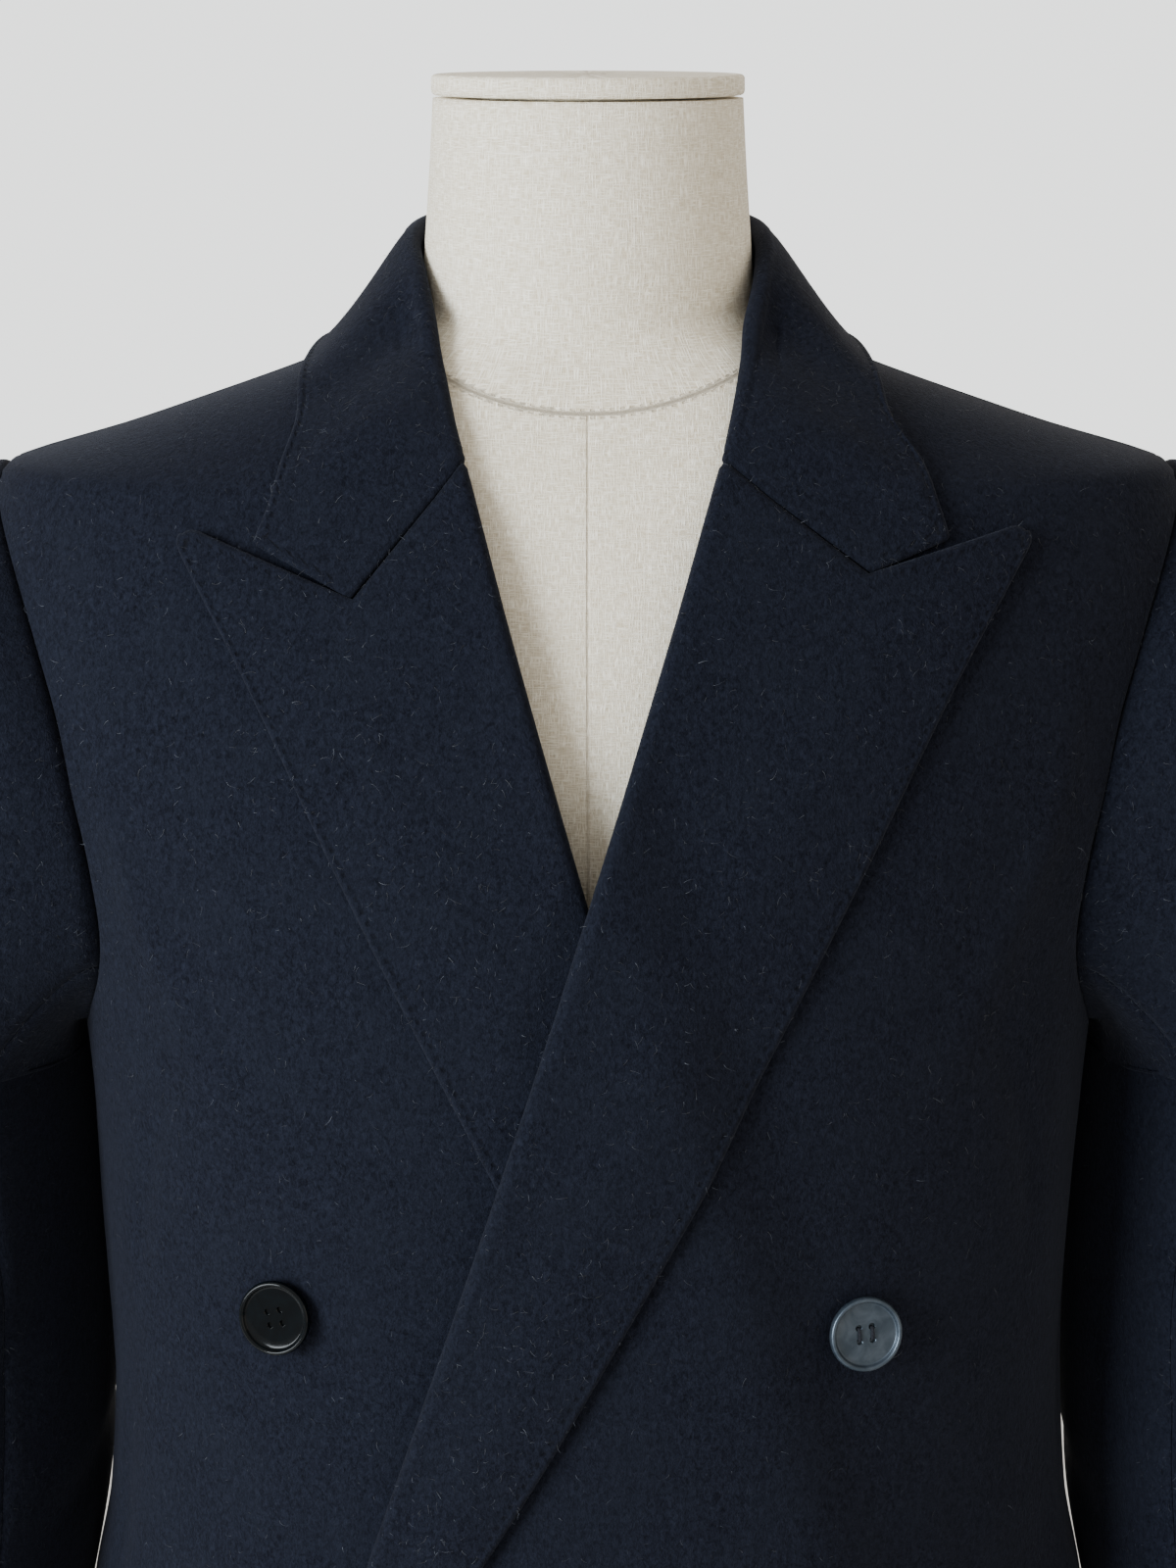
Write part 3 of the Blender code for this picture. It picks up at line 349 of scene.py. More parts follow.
# ---- cloth from a middle sheet of points ----
def edge_distances(grid):
    """Distance of every point from the first and last row and column, along the cloth."""
    down, along = (np.cumsum(np.linalg.norm(np.diff(grid, axis=axis), axis=2), axis=axis) for axis in (0, 1))
    along = np.concatenate((np.zeros((len(grid), 1)), along), axis=1)
    down = np.concatenate((np.zeros((1, grid.shape[1])), down), axis=0)
    return {"left": along, "right": along[:, -1:] - along, "low": down, "high": down[-1:] - down}


def nearest_edge(away, edges):
    return np.minimum.reduce([away[edge] for edge in edges])


def ridge(distance, height, middle, width):
    return height * np.exp(-((distance - middle) / width) ** 2)


def close_rows(grid):
    """The grid with extra rows just inside its first and last rows."""
    def inside(edge, inner):
        gap = np.linalg.norm(inner - edge, axis=1).mean()
        return [edge + (inner - edge) * step / gap for step in EDGE_STEPS if step < gap * 0.8]

    return np.array([grid[0], *inside(grid[0], grid[1]), *grid[1:-1],
                     *inside(grid[-1], grid[-2])[::-1], grid[-1]])


def close_columns(grid):
    return close_rows(grid.transpose(1, 0, 2)).transpose(1, 0, 2)


def round_corner(grid, row, column, radius):
    """Rounds off one corner of a cloth grid: the points in its wedge are drawn in towards an arc."""
    corner = grid[row, column].copy()
    first = min(grid[row], key=lambda point: abs(np.linalg.norm(point - corner) - 2.5 * radius))
    second = min(grid[:, column], key=lambda point: abs(np.linalg.norm(point - corner) - 2.5 * radius))
    first, second = unit(first - corner), unit(second - corner)
    half_angle = math.acos(float(np.dot(first, second))) / 2
    centre = corner + unit(first + second) * (radius / math.sin(half_angle))
    touches = [corner + edge * (radius / math.tan(half_angle)) - centre for edge in (first, second)]
    normals = [unit(touch) for touch in touches]
    facing = unit(np.cross(first, second))
    away = grid - centre
    flat = away - facing * np.sum(away * facing, axis=2, keepdims=True)
    length = np.linalg.norm(flat, axis=2, keepdims=True).clip(1e-9)
    direction = flat / length
    dots = [np.sum(direction * normal, axis=2, keepdims=True) for normal in normals]
    wedge = (np.sum(direction * unit(corner - centre), axis=2, keepdims=True) > math.sin(half_angle)) \
        & (length < 1.02 * radius / math.sin(half_angle))
    shrink = np.where(wedge, np.maximum(dots[0], dots[1]), 1.0)
    return grid + flat * (np.clip(shrink, 0.0, 1.0) - 1.0)


def add_object(name, data):
    piece = bpy.data.objects.new(name, data)
    bpy.context.scene.collection.objects.link(piece)
    return piece


def claim(piece, node=None):
    """Ties a finished piece to the frame's one body, and hides the CAD node that it stands for."""
    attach(piece, "root")
    if node:
        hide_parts(node)


def add_values(mesh, values):
    """Numbers kept at the mesh's points, for its material."""
    for label, numbers in values:
        layer = mesh.attributes.new(label, "FLOAT", "POINT")
        layer.data.foreach_set("value", np.asarray(numbers, np.float32).ravel())


def face_outward(mesh, fill=False):
    """Turns the faces outward, over filled holes if asked."""
    shape = bmesh.new()
    shape.from_mesh(mesh)
    if fill:
        bmesh.ops.holes_fill(shape, edges=[edge for edge in shape.edges if edge.is_boundary], sides=0)
    bmesh.ops.recalc_face_normals(shape, faces=shape.faces[:])
    shape.to_mesh(mesh)
    shape.free()


def build_mesh(name, points, faces, material, values=()):
    mesh = bpy.data.meshes.new(name)
    mesh.vertices.add(len(points))
    mesh.vertices.foreach_set("co", np.asarray(points, np.float32).ravel())
    faces = np.asarray(faces, np.int32)
    mesh.loops.add(faces.size)
    mesh.loops.foreach_set("vertex_index", faces.ravel())
    mesh.polygons.add(len(faces))
    mesh.polygons.foreach_set("loop_start", np.arange(0, faces.size, faces.shape[1], dtype=np.int32))
    mesh.update(calc_edges=True)
    mesh.validate()
    add_values(mesh, values)
    mesh.shade_smooth()
    mesh.materials.append(material)
    return add_object(name, mesh)


def grid_faces(rows, columns, start=0):
    corner = (np.arange(rows - 1)[:, None] * columns + np.arange(columns - 1)[None, :]).ravel() + start
    return np.stack((corner, corner + 1, corner + 1 + columns, corner + columns), axis=1)


fibre_seats = []          # outer points and normals of every cloth piece, for the loose fibres


def add_cloth(name, node, middle, normals, thickness, material, stitched=(), shift=None, seam=None):
    """A cloth wall on both sides of a middle sheet, thinner at its edges so that they are round.

    stitched names the edges that have a row of pick stitches; shift moves points along the normals.
    """
    away = edge_distances(middle)
    nearest = nearest_edge(away, ("left", "right", "low", "high"))
    joined = 0.0 if seam is None else np.clip(seam * 1.2, 0, 1)
    edge_thinning = EDGE_THINNING - (EDGE_THINNING - SEAM_THINNING) * joined
    edge_thinning = edge_thinning * np.exp(-(nearest / ROUND_EDGE) ** 1.3)
    bead = 0.0
    if stitched:
        aside = nearest_edge(away, stitched)
        bead = ridge(aside, *BEAD) - ridge(aside, *STITCH_DIP)
    half = np.broadcast_to(thickness, nearest.shape) / 2 * (1 - edge_thinning + bead * (1 - joined))
    if shift is not None:
        middle = middle + normals * shift[..., None]
    inner, outer = middle - normals * half[..., None], middle + normals * half[..., None]
    rows, columns = nearest.shape
    count = rows * columns
    loop = np.concatenate((np.arange(columns), np.arange(1, rows) * columns + columns - 1,
                           (rows - 1) * columns + np.arange(columns - 2, -1, -1),
                           np.arange(rows - 2, 0, -1) * columns))
    after = np.roll(loop, -1)
    rim = np.stack((loop, after, after + count, loop + count), axis=1)
    faces = np.concatenate((grid_faces(rows, columns)[:, ::-1], grid_faces(rows, columns, count), rim))
    stitch_away, stitch_run = np.full(nearest.shape, 1.0), np.zeros(nearest.shape)
    for edge in stitched:
        upright = edge in ("left", "right")
        first_free = 0 if upright else UNDER_STEPS + TURN_STEPS + NOTCH_COLUMN + 3
        closer = (away[edge] < stitch_away) & (np.arange(columns)[None, :] >= first_free)
        run = away["low"] if upright else away["left"]
        stitch_away, stitch_run = np.where(closer, away[edge], stitch_away), np.where(closer, run, stitch_run)
    both = [(label, np.concatenate((values.ravel(), values.ravel()))) for label, values in
            (("stitch_away", stitch_away), ("stitch_run", stitch_run),
             ("seam", np.zeros(nearest.shape) if seam is None else seam))]
    points = np.concatenate((inner.reshape(-1, 3), outer.reshape(-1, 3)))
    piece = build_mesh(name, points, faces, material, both)
    face_outward(piece.data)
    fibre_seats.append((outer.reshape(-1, 3), normals.reshape(-1, 3)))
    claim(piece, node)


def fine_rows():
    """Heights of the body's rows: the CAD's, with more between them and close ones at both ends."""
    coarse = SKIRT_ROWS + ARMHOLE_ROWS + SHOULDER_ROWS
    rows = []
    for low, high in zip(coarse, coarse[1:]):
        steps = max(3, math.ceil((high - low) / ROW_STEP))
        rows += [low + (high - low) * step / steps for step in range(steps)]
    rows += [coarse[-1]] + [HEM_HEIGHT + step for step in EDGE_STEPS]
    return np.array(sorted(rows))


def fine_shares(columns, width):
    """Shares from 0 to 1 across a panel, with close lines of points at both ends."""
    near = np.array(EDGE_STEPS) / width
    inside = np.linspace(near[-1] * 2, 1 - near[-1] * 2, columns)
    return np.concatenate(([0.0], near, inside, 1 - near[::-1], [1.0]))


# Soft creases pressed into a panel: direction (degrees) and height of the middle, lean from upright
# (degrees), half length, half width, depth (below 0 for a trough). The cloth hangs, so that most run
# upright and a few drag from the arm and the button.
FRONT_CREASES = {
    "left": (
        (38.0, 1.060, 0.0, 0.170, 0.0016, -0.0008), (47.0, 1.290, 14.0, 0.090, 0.012, 0.0022),
        (55.0, 1.190, -22.0, 0.070, 0.010, -0.0018), (50.0, 0.960, -8.0, 0.110, 0.014, -0.0020),
        (22.0, 0.760, 6.0, 0.170, 0.022, 0.0028), (44.0, 0.620, -4.0, 0.190, 0.020, -0.0036),
        (74.0, 0.900, 3.0, 0.140, 0.016, 0.0030), (30.0, 1.120, 72.0, 0.060, 0.010, -0.0010),
        (80.0, 1.090, 8.0, 0.080, 0.010, -0.0016), (8.0, 0.560, -3.0, 0.150, 0.024, -0.0026),
    ),
    "right": (
        (40.0, 1.060, 0.0, 0.170, 0.0016, -0.0008), (49.0, 1.270, 18.0, 0.080, 0.013, 0.0024),
        (57.0, 1.170, -26.0, 0.060, 0.009, -0.0020), (46.0, 0.930, -6.0, 0.120, 0.014, 0.0020),
        (28.0, 0.700, 5.0, 0.180, 0.022, -0.0030), (70.0, 0.960, 4.0, 0.130, 0.014, -0.0026),
        (36.0, 1.110, 66.0, 0.050, 0.009, -0.0010), (84.0, 1.120, 10.0, 0.070, 0.010, 0.0016),
    ),
}
BACK_CREASES = {
    "left": (
        (112.0, 1.280, -8.0, 0.120, 0.012, 0.0026), (136.0, 1.170, 12.0, 0.110, 0.016, -0.0022),
        (160.0, 1.060, -64.0, 0.070, 0.012, -0.0014), (128.0, 0.930, 6.0, 0.150, 0.018, 0.0034),
        (162.0, 0.720, -4.0, 0.200, 0.024, -0.0036), (105.0, 0.700, 3.0, 0.190, 0.020, -0.0030),
        (150.0, 1.350, 40.0, 0.060, 0.016, -0.0012),
    ),
    "right": (
        (114.0, 1.260, -10.0, 0.110, 0.013, 0.0024), (132.0, 1.190, 9.0, 0.130, 0.015, -0.0024),
        (156.0, 1.080, 58.0, 0.080, 0.012, -0.0013), (122.0, 0.880, -5.0, 0.160, 0.018, 0.0030),
        (166.0, 0.680, 5.0, 0.170, 0.022, 0.0028), (140.0, 0.600, 2.0, 0.160, 0.022, -0.0034),
    ),
}


def crease_shift(creases, angle, z, radius=0.20):
    """How far soft creases move points of a panel, from each crease's place, lean and size."""
    shift = np.zeros(angle.shape)
    for direction, height, lean, half_length, half_width, depth in creases:
        across = np.radians(angle - direction) * radius
        up = z - height
        turn = math.radians(lean)
        along = up * math.cos(turn) + across * math.sin(turn)
        aside = across * math.cos(turn) - up * math.sin(turn)
        aside = aside + 0.16 * along * along / half_length
        fade = 1 - np.clip(np.abs(along) / half_length, 0, 1) ** 2
        shift += depth * fade * np.exp(-(aside / half_width) ** 2)
    return shift


def panel_creases(creases, middle, angle, z):
    """A front's or back's creases, which die out before its seams and free edge."""
    near_edge = nearest_edge(edge_distances(middle), ("left", "right", "high"))
    return crease_shift(creases, angle, z) * ease(near_edge / 0.030)


def side_edge(z, armhole, turn):
    """Direction of a panel's edge: at the armhole, and above and below it at the side seam."""
    in_hole = (z > UNDERARM_HEIGHT) & (z < SHOULDER_POINT_HEIGHT)
    return np.where(in_hole, armhole(z), SIDE_SEAM_ANGLE + turn)


def add_front(side, material):
    sign = SIDES[side]
    z = fine_rows()[:, None]
    back_off = PANEL_BACK_OFF * np.clip((z - BACK_OFF_FROM) / 0.020, 0, 1)
    reach = np.where(z <= GORGE_HEIGHT, np.maximum(roll_line(side, z), -OVERLAP) + back_off, neck_edge(z))
    start = sign * angle_at(sign * reach, z)
    end = side_edge(z, armhole_front, -SEAM_TURN)
    share = fine_shares(FRONT_COLUMNS, 0.40)[None, :]
    angle = start + (end - start) * share
    z = np.broadcast_to(z, angle.shape)
    actual = sign * angle
    x = section_point(actual, z)[..., 0]
    lift = np.where(angle < 90, overlap_lift(side, x, z), 0.0)
    middle = body_point(actual, z, lift + CLOTH / 2)
    shift = panel_creases(FRONT_CREASES[side], middle, angle, z)
    add_cloth(f"wool_front_{side}", f"front_{side}", middle, surface_normal(actual, z), CLOTH, material,
              stitched=("left",), shift=shift)


def add_back(side, material):
    sign = SIDES[side]
    z = fine_rows()[:, None]
    start = side_edge(z, armhole_back, SEAM_TURN)
    share = fine_shares(BACK_COLUMNS, 0.30)[None, :]
    angle = start + (180.0 - SEAM_TURN - start) * share
    z = np.broadcast_to(z, angle.shape)
    middle = body_point(sign * angle, z, CLOTH / 2)
    shift = panel_creases(BACK_CREASES[side], middle, angle, z)
    add_cloth(f"wool_back_{side}", f"back_{side}", middle, surface_normal(sign * angle, z), CLOTH, material,
              shift=shift)


# ---- lapels and collar ----
SPRING = (0.0002, 0.0020, 0.030)    # a lapel stands off: everywhere, more at its roll, dying out over
COVER_EASE = (0.003, 0.014)         # where the left front leaves the right lapel's roll free, and over what
LAPEL_TIP_RADIUS = 0.0056
LAPEL_RAISE = 0.0003         # the pressed lapel lies this much above the CAD's
LAPEL_BELLY = (0.0016, 0.62, 0.20)   # its middle swells: height, share of the way across, width in shares
TIP_DRAW_IN = (0.0022, 0.004)        # its outer edge is drawn in at the tip, over a share of its length
COLLAR_END_LIFT = 0.0002     # the collar's ends lie this much above the gorge line
COLLAR_ROLL_OFFSET = 0.0034  # where the fold line leaves the front, out from the coat's inner face
NECK_SEAM_RISE = (0.0022, 0.0008)    # the stand's foot: on along the front's slope, and up
COLLAR_CORNER_RADIUS = 0.0030
GORGE_SINK = 0.0008          # the gorge seam pulls both cloths in by this much
GORGE_SINK_REACH = 0.0024


def leaf_offset(side, point, distance):
    """Height of a lapel's middle above the coat's inner face, flat where the other front lies on it."""
    shown = 1.0
    if side == "right":
        shown = ease((point[0] + roll_line("left", point[1]) - COVER_EASE[0]) / COVER_EASE[1])
    return LAPEL_OFFSET + (SPRING[0] + SPRING[1] * math.exp(-distance / SPRING[2])) * shown


def path_point(path, distance):
    """The point at a distance along a path of straight lines."""
    left = distance
    for start, end in zip(path, path[1:]):
        length = np.linalg.norm(end - start)
        if left <= length or end is path[-1]:
            return start + (end - start) * (left / length)
        left -= length


def hook_row(side, path, stops):
    """Middle points and outward normals of cloth that comes up under the roll, turns and lies back."""
    low = CLOTH / 2
    radius = (leaf_offset(side, path[0], 0.0) - low) / 2
    section = [(UNDER_TURN + (radius - UNDER_TURN) * step / UNDER_STEPS, low, 0.0, -1.0)
               for step in range(UNDER_STEPS)]
    for turn in np.linspace(-math.pi / 2, math.pi / 2, TURN_STEPS):
        across, out = math.cos(turn), math.sin(turn)
        section.append((radius - radius * across, low + radius + radius * out, -across, out))
    for stop in stops:
        section.append((stop, leaf_offset(side, path_point(path, stop), stop), 0.0, 1.0))
    section = np.array(section)
    sheets = []
    for sign in (-1.0, 1.0):
        moved = section[:, 0] + sign * CLOTH / 2 * section[:, 2]
        places = []
        for distance in moved:
            inside = path_point(path, max(distance, 0.0))
            places.append(inside if distance >= 0 else path[0] + unit(path[1] - path[0]) * distance)
        places = np.array(places)
        offset = section[:, 1] + sign * CLOTH / 2 * section[:, 3]
        sheets.append(front_point(side, places[:, 0], places[:, 1], offset))
    return (sheets[0] + sheets[1]) / 2, unit(sheets[1] - sheets[0])


def leaf_stops(first, second, radius=0.0035):
    """Distances of the leaf's points from the roll, close together at the outer edge."""
    stops = list(radius + (first - radius) * np.linspace(0, 1, NOTCH_COLUMN + 1)[1:])
    rest = LEAF_COLUMNS - NOTCH_COLUMN
    stops += list(first + (second - 0.0045) * np.arange(1, rest + 1) / rest)
    return stops + [first + second - step for step in EDGE_STEPS[1::-1]] + [first + second]


def gorge_share(shape):
    """1 on the columns that the gorge seam joins, fading to 0 past the notch, for a whole grid."""
    columns = np.arange(shape[1]) - (UNDER_STEPS + TURN_STEPS)
    return np.broadcast_to(1 - ease((columns - NOTCH_COLUMN + 1.0) / 3.0), shape[:2])


def add_lapel(side, material):
    shape = LAPEL_SHAPE[side]
    roll_top = np.array((roll_line(side, GORGE_HEIGHT), GORGE_HEIGHT))
    notch, tip = np.array(shape["notch"]), np.array(shape["tip"])
    straight = roll_top + (tip - roll_top) * 0.5
    rows, normals = [], []
    shares = np.concatenate(([0.0, 0.0018, 0.0045, 0.009], np.linspace(0.024, 0.992, LAPEL_ROWS) ** 1.15,
                             [0.997, 1.0]))
    for share in shares:
        roll_height = GORGE_HEIGHT + (LAPEL_END_HEIGHT - GORGE_HEIGHT) * share
        edge_height = tip[1] + (LAPEL_END_HEIGHT + 0.004 - tip[1]) * share
        roll = np.array((float(roll_line(side, roll_height)), roll_height))
        edge = np.array((float(lapel_edge[side](edge_height)), edge_height))
        edge[0] -= TIP_DRAW_IN[0] * math.exp(-share / TIP_DRAW_IN[1])
        bend = roll + (edge - roll) * 0.5 + (notch - straight) * (1 - ease(share / 0.45))
        stops = leaf_stops(np.linalg.norm(bend - roll), np.linalg.norm(edge - bend))
        row, facing = hook_row(side, [roll, bend, edge], stops)
        rows.append(row)
        normals.append(facing)
    middle, normals = round_corner(np.array(rows), 0, -1, LAPEL_TIP_RADIUS), np.array(normals)
    away = edge_distances(middle)
    reach, run = away["left"] / away["left"][:, -1:], away["low"]
    seam = gorge_share(middle.shape) * np.exp(-(away["low"] / GORGE_SINK_REACH) ** 2)
    wave = 0.0011 * np.sin(run * 17.0 + (0.6 if side == "left" else 2.2)) * ease((reach - 0.35) / 0.5)
    belly = ridge(reach, *LAPEL_BELLY) * ease(run / 0.10)
    shift = wave * 0.5 + belly + LAPEL_RAISE - GORGE_SINK * seam
    add_cloth(f"wool_lapel_{side}", f"lapel_{side}", middle, normals, TURNED_CLOTH, material,
              stitched=("right", "low"), shift=shift, seam=seam)


def collar_section(side, station, fold_before, fold_after):
    """One section of the collar: up from the neck seam, round the fold and down to the outer edge."""
    sign = SIDES[side]
    x, y, z, edge_angle, edge_height, seam_angle, seam_height = COLLAR_STATIONS[station]
    edge_angle += COLLAR_WIDER[side][station]
    fold = np.array((sign * (x + COLLAR_FOLD_OUT[side][station]), y, z))
    if seam_angle == 0.0:
        seam_angle = float(angle_at(neck_edge(seam_height) - SEAM_GAP * 4, seam_height))
        seam = body_point(sign * seam_angle, seam_height, CLOTH / 2)
    else:
        top = body_point(sign * seam_angle, seam_height, CLOTH / 2)
        below = body_point(sign * seam_angle, seam_height - 0.003, CLOTH / 2)
        seam = top + unit(top - below) * NECK_SEAM_RISE[0] + np.array((0.0, 0.0, NECK_SEAM_RISE[1]))
    along = unit(fold_after - fold_before)
    up = fold - seam
    up = unit(up - along * np.dot(up, along))
    out = np.cross(along, up) * sign
    centre = fold - up * COLLAR_FOLD_RADIUS
    clearance = LAPEL_OFFSET + COLLAR_EXTRA_LIFT * float(ease((edge_angle - 32.0) / 30.0))
    edge = body_point(sign * edge_angle, edge_height, clearance)
    inside = centre - out * COLLAR_FOLD_RADIUS
    outside = centre + out * COLLAR_FOLD_RADIUS
    points = [seam + (inside - seam) * step / UNDER_STEPS for step in range(UNDER_STEPS)]
    for turn in np.linspace(math.pi, 0, TURN_STEPS):
        points.append(centre + (out * math.cos(turn) + up * math.sin(turn)) * COLLAR_FOLD_RADIUS)
    reach = np.linalg.norm(edge - outside)
    facing = surface_normal(sign * edge_angle, edge_height)
    lie = edge - outside
    lie = unit(lie - facing * np.dot(lie, facing))
    shares = np.array(leaf_stops(reach / 2, reach / 2, 0.0)) / reach
    start_pull, end_pull = (out * COLLAR_SPREAD[side] - up * 0.6) * reach, lie * reach * 0.6
    for u in shares:
        points.append(clear_of_body(between(outside, edge, start_pull, end_pull, u), clearance))
    return points


def add_collar(material):
    folds, ends = {}, {}
    for side, sign in SIDES.items():
        start = front_point(side, roll_line(side, GORGE_HEIGHT), GORGE_HEIGHT, COLLAR_ROLL_OFFSET)
        folds[side] = [start] + [np.array((sign * (row[0] + out), row[1], row[2]))
                                 for row, out in zip(COLLAR_STATIONS, COLLAR_FOLD_OUT[side])]
        shape = LAPEL_SHAPE[side]
        lift = np.array((0.0, COLLAR_END_LIFT))
        roll_top = np.array((float(roll_line(side, GORGE_HEIGHT)), GORGE_HEIGHT)) + lift
        notch, corner = np.array(shape["notch"]) + lift, np.array(shape["corner"]) + lift
        stops = leaf_stops(np.linalg.norm(notch - roll_top), np.linalg.norm(corner - notch))
        ends[side] = hook_row(side, [roll_top, notch, corner], stops)
    rows = [ends["left"][0]]
    count = len(COLLAR_STATIONS)
    for station in range(count):
        after = folds["left"][station + 2] if station + 2 <= count else folds["right"][station]
        rows.append(collar_section("left", station, folds["left"][station], after))
    for station in range(count - 2, -1, -1):
        rows.append(collar_section("right", station, folds["right"][station], folds["right"][station + 2]))
    rows.append(ends["right"][0])
    grid = close_rows(finer(np.array(rows), COLLAR_STEPS))
    for row in (0, -1):
        grid = round_corner(grid, row, -1, COLLAR_CORNER_RADIUS)
    normals = unit(np.cross(np.gradient(grid, axis=0), np.gradient(grid, axis=1)))
    centre_back = len(grid) // 2
    if normals[centre_back, -4, 1] < 0:
        normals = -normals
    normals[0], normals[-1] = ends["left"][1], ends["right"][1]
    away = edge_distances(grid)
    from_end = np.minimum(away["low"], away["high"])
    seam = gorge_share(grid.shape) * np.exp(-(from_end / GORGE_SINK_REACH) ** 2)
    add_cloth("wool_collar", "collar", grid, normals, TURNED_CLOTH, material,
              stitched=("right", "low", "high"), shift=-GORGE_SINK * seam, seam=seam)


# ---- sleeves ----
# Creases of a sleeve: direction round the arm (0 out to the side, 90 to the front), then as above.
SLEEVE_CREASES = {
    "left": (
        (60.0, 1.120, 30.0, 0.075, 0.011, -0.0022), (95.0, 1.030, 62.0, 0.060, 0.010, -0.0026),
        (80.0, 0.985, 74.0, 0.055, 0.009, -0.0022), (110.0, 1.080, 38.0, 0.060, 0.012, 0.0022),
        (15.0, 1.240, 6.0, 0.090, 0.014, -0.0016), (200.0, 1.000, 66.0, 0.070, 0.012, -0.0020),
        (30.0, 0.910, -12.0, 0.100, 0.014, 0.0024), (150.0, 1.140, -8.0, 0.110, 0.014, -0.0022),
        (250.0, 1.100, 10.0, 0.120, 0.014, 0.0020), (320.0, 1.060, -24.0, 0.080, 0.012, -0.0018),
    ),
    "right": (
        (52.0, 1.140, 24.0, 0.080, 0.012, -0.0024), (90.0, 1.045, 58.0, 0.060, 0.010, -0.0024),
        (84.0, 0.995, 70.0, 0.060, 0.009, -0.0024), (118.0, 1.090, 34.0, 0.060, 0.012, 0.0020),
        (20.0, 1.225, -8.0, 0.080, 0.013, -0.0018), (190.0, 1.010, 60.0, 0.075, 0.012, -0.0022),
        (40.0, 0.900, 10.0, 0.100, 0.014, 0.0022), (145.0, 1.120, 7.0, 0.110, 0.014, -0.0020),
        (240.0, 1.130, -6.0, 0.110, 0.014, 0.0018), (310.0, 1.050, 20.0, 0.090, 0.012, -0.0020),
    ),
}


def sleeve_rings(side):
    """Middle points of the sleeve, ring by ring from the armhole seam to the cuff."""
    sign = SIDES[side]
    edge = [(float(armhole_front(z)), z) for z in ARMHOLE_ROWS[::-1]]
    edge += [(float(armhole_back(z)), z) for z in ARMHOLE_ROWS[1:-1]]
    angles, heights = sign * np.array(edge)[:, 0], np.array(edge)[:, 1]
    points, normals = body_point(angles, heights, 0.0), surface_normal(angles, heights)
    into = points.mean(axis=0) - points
    into = unit(into - normals * np.sum(into * normals, axis=1, keepdims=True))
    seat = points + into * (SEAM_GAP + CLOTH / 2 + 0.0003)
    start, raised = seat + normals * 0.0002, seat + normals * (CLOTH + SLEEVE_HEAD_RISE)
    knots = [row[0] for row in SLEEVE_SECTIONS][::-1]
    columns = list(zip(*SLEEVE_SECTIONS[::-1]))
    centre_x, centre_y, width, depth = [smooth_curve(knots, columns[i]) for i in range(1, 5)]
    turn = 2 * np.pi * np.arange(len(points)) / len(points)

    def ring_at(z):
        y = centre_y(z) - depth(z) * np.sin(turn)
        x = centre_x(z) + width(z) * np.cos(turn) - SLEEVE_TURN * (y - centre_y(z))
        return np.stack((sign * x, y, np.full(len(turn), z)), axis=1)

    biceps = ring_at(SLEEVE_SECTIONS[0][0])
    gap = np.linalg.norm(biceps - raised, axis=1, keepdims=True)
    down = np.array((0.0, 0.0, -1.0))
    outward = np.array((sign, 0.0, 0.0))
    low = ease((SLEEVE_DROP_TOP - heights) / SLEEVE_DROP_EASE)[:, None]
    leave = unit(normals * (1 - 0.8 * low) + outward * 0.8 * low + down * 0.35 * low)
    leave = leave * gap * SLEEVE_FULLNESS
    arrive = down * gap * (1 - 0.35 * low)
    rings = [start, raised]
    for step in range(1, SLEEVE_HEAD_RINGS + 1):
        u = step / (SLEEVE_HEAD_RINGS + 1)
        rings.append(between(raised, biceps, leave, arrive, u))
    return np.array(rings + [ring_at(row[0]) for row in SLEEVE_SECTIONS])


def add_sleeve(side, material):
    rings = sleeve_rings(side)
    around = finer(rings.transpose(1, 0, 2), SLEEVE_AROUND_STEPS, closed=True).transpose(1, 0, 2)
    grid = close_rows(finer(around, SLEEVE_DOWN_STEPS))
    wrapped = np.concatenate((grid[:, -1:], grid, grid[:, :1]), axis=1)
    normals = unit(np.cross(wrapped[:, 2:] - wrapped[:, :-2], np.gradient(grid, axis=0)))
    if np.dot(normals[-1, 0], grid[-1, 0] - grid[-1].mean(axis=0)) < 0:
        normals = -normals
    count = grid.shape[1]
    direction = np.broadcast_to(360.0 * np.arange(count) / count, grid.shape[:2])
    shift = np.zeros(grid.shape[:2])
    for turn in (-360.0, 0.0, 360.0):
        shift += crease_shift(SLEEVE_CREASES[side], direction + turn, grid[..., 2], 0.062)
    shift *= ease((1.40 - grid[..., 2]) / 0.05)
    shift *= ease((grid[..., 2] - 0.80) / 0.02)
    grid = grid + normals * shift[..., None]
    front, back = FRONT_SLEEVE_SEAM * SLEEVE_AROUND_STEPS, BACK_SLEEVE_SEAM * SLEEVE_AROUND_STEPS
    parts = {"under": list(range(front, back + 1)),
             "top": list(range(back, count)) + list(range(0, front + 1))}
    for part, columns in parts.items():
        half, facing = grid[:, columns].copy(), normals[:, columns]
        for edge, inward in ((0, 1), (-1, -2)):
            half[:, edge] += unit(half[:, inward] - half[:, edge]) * SEAM_GAP / 2
        both = close_columns(np.concatenate((half, facing), axis=2))
        add_cloth(f"wool_sleeve_{side}_{part}", f"sleeve_{side}_{part}", both[..., :3],
                  unit(both[..., 3:]), CLOTH, material)


# ---- buttons ----
def add_tube(shape, rings):
    """Faces between rings of points, and over both ends."""
    verts = [[shape.verts.new(point) for point in ring] for ring in rings]
    sides = len(verts[0])
    for low, high in zip(verts, verts[1:]):
        for i in range(sides):
            shape.faces.new((low[i], low[(i + 1) % sides], high[(i + 1) % sides], high[i]))
    shape.faces.new(verts[0][::-1])
    shape.faces.new(verts[-1])


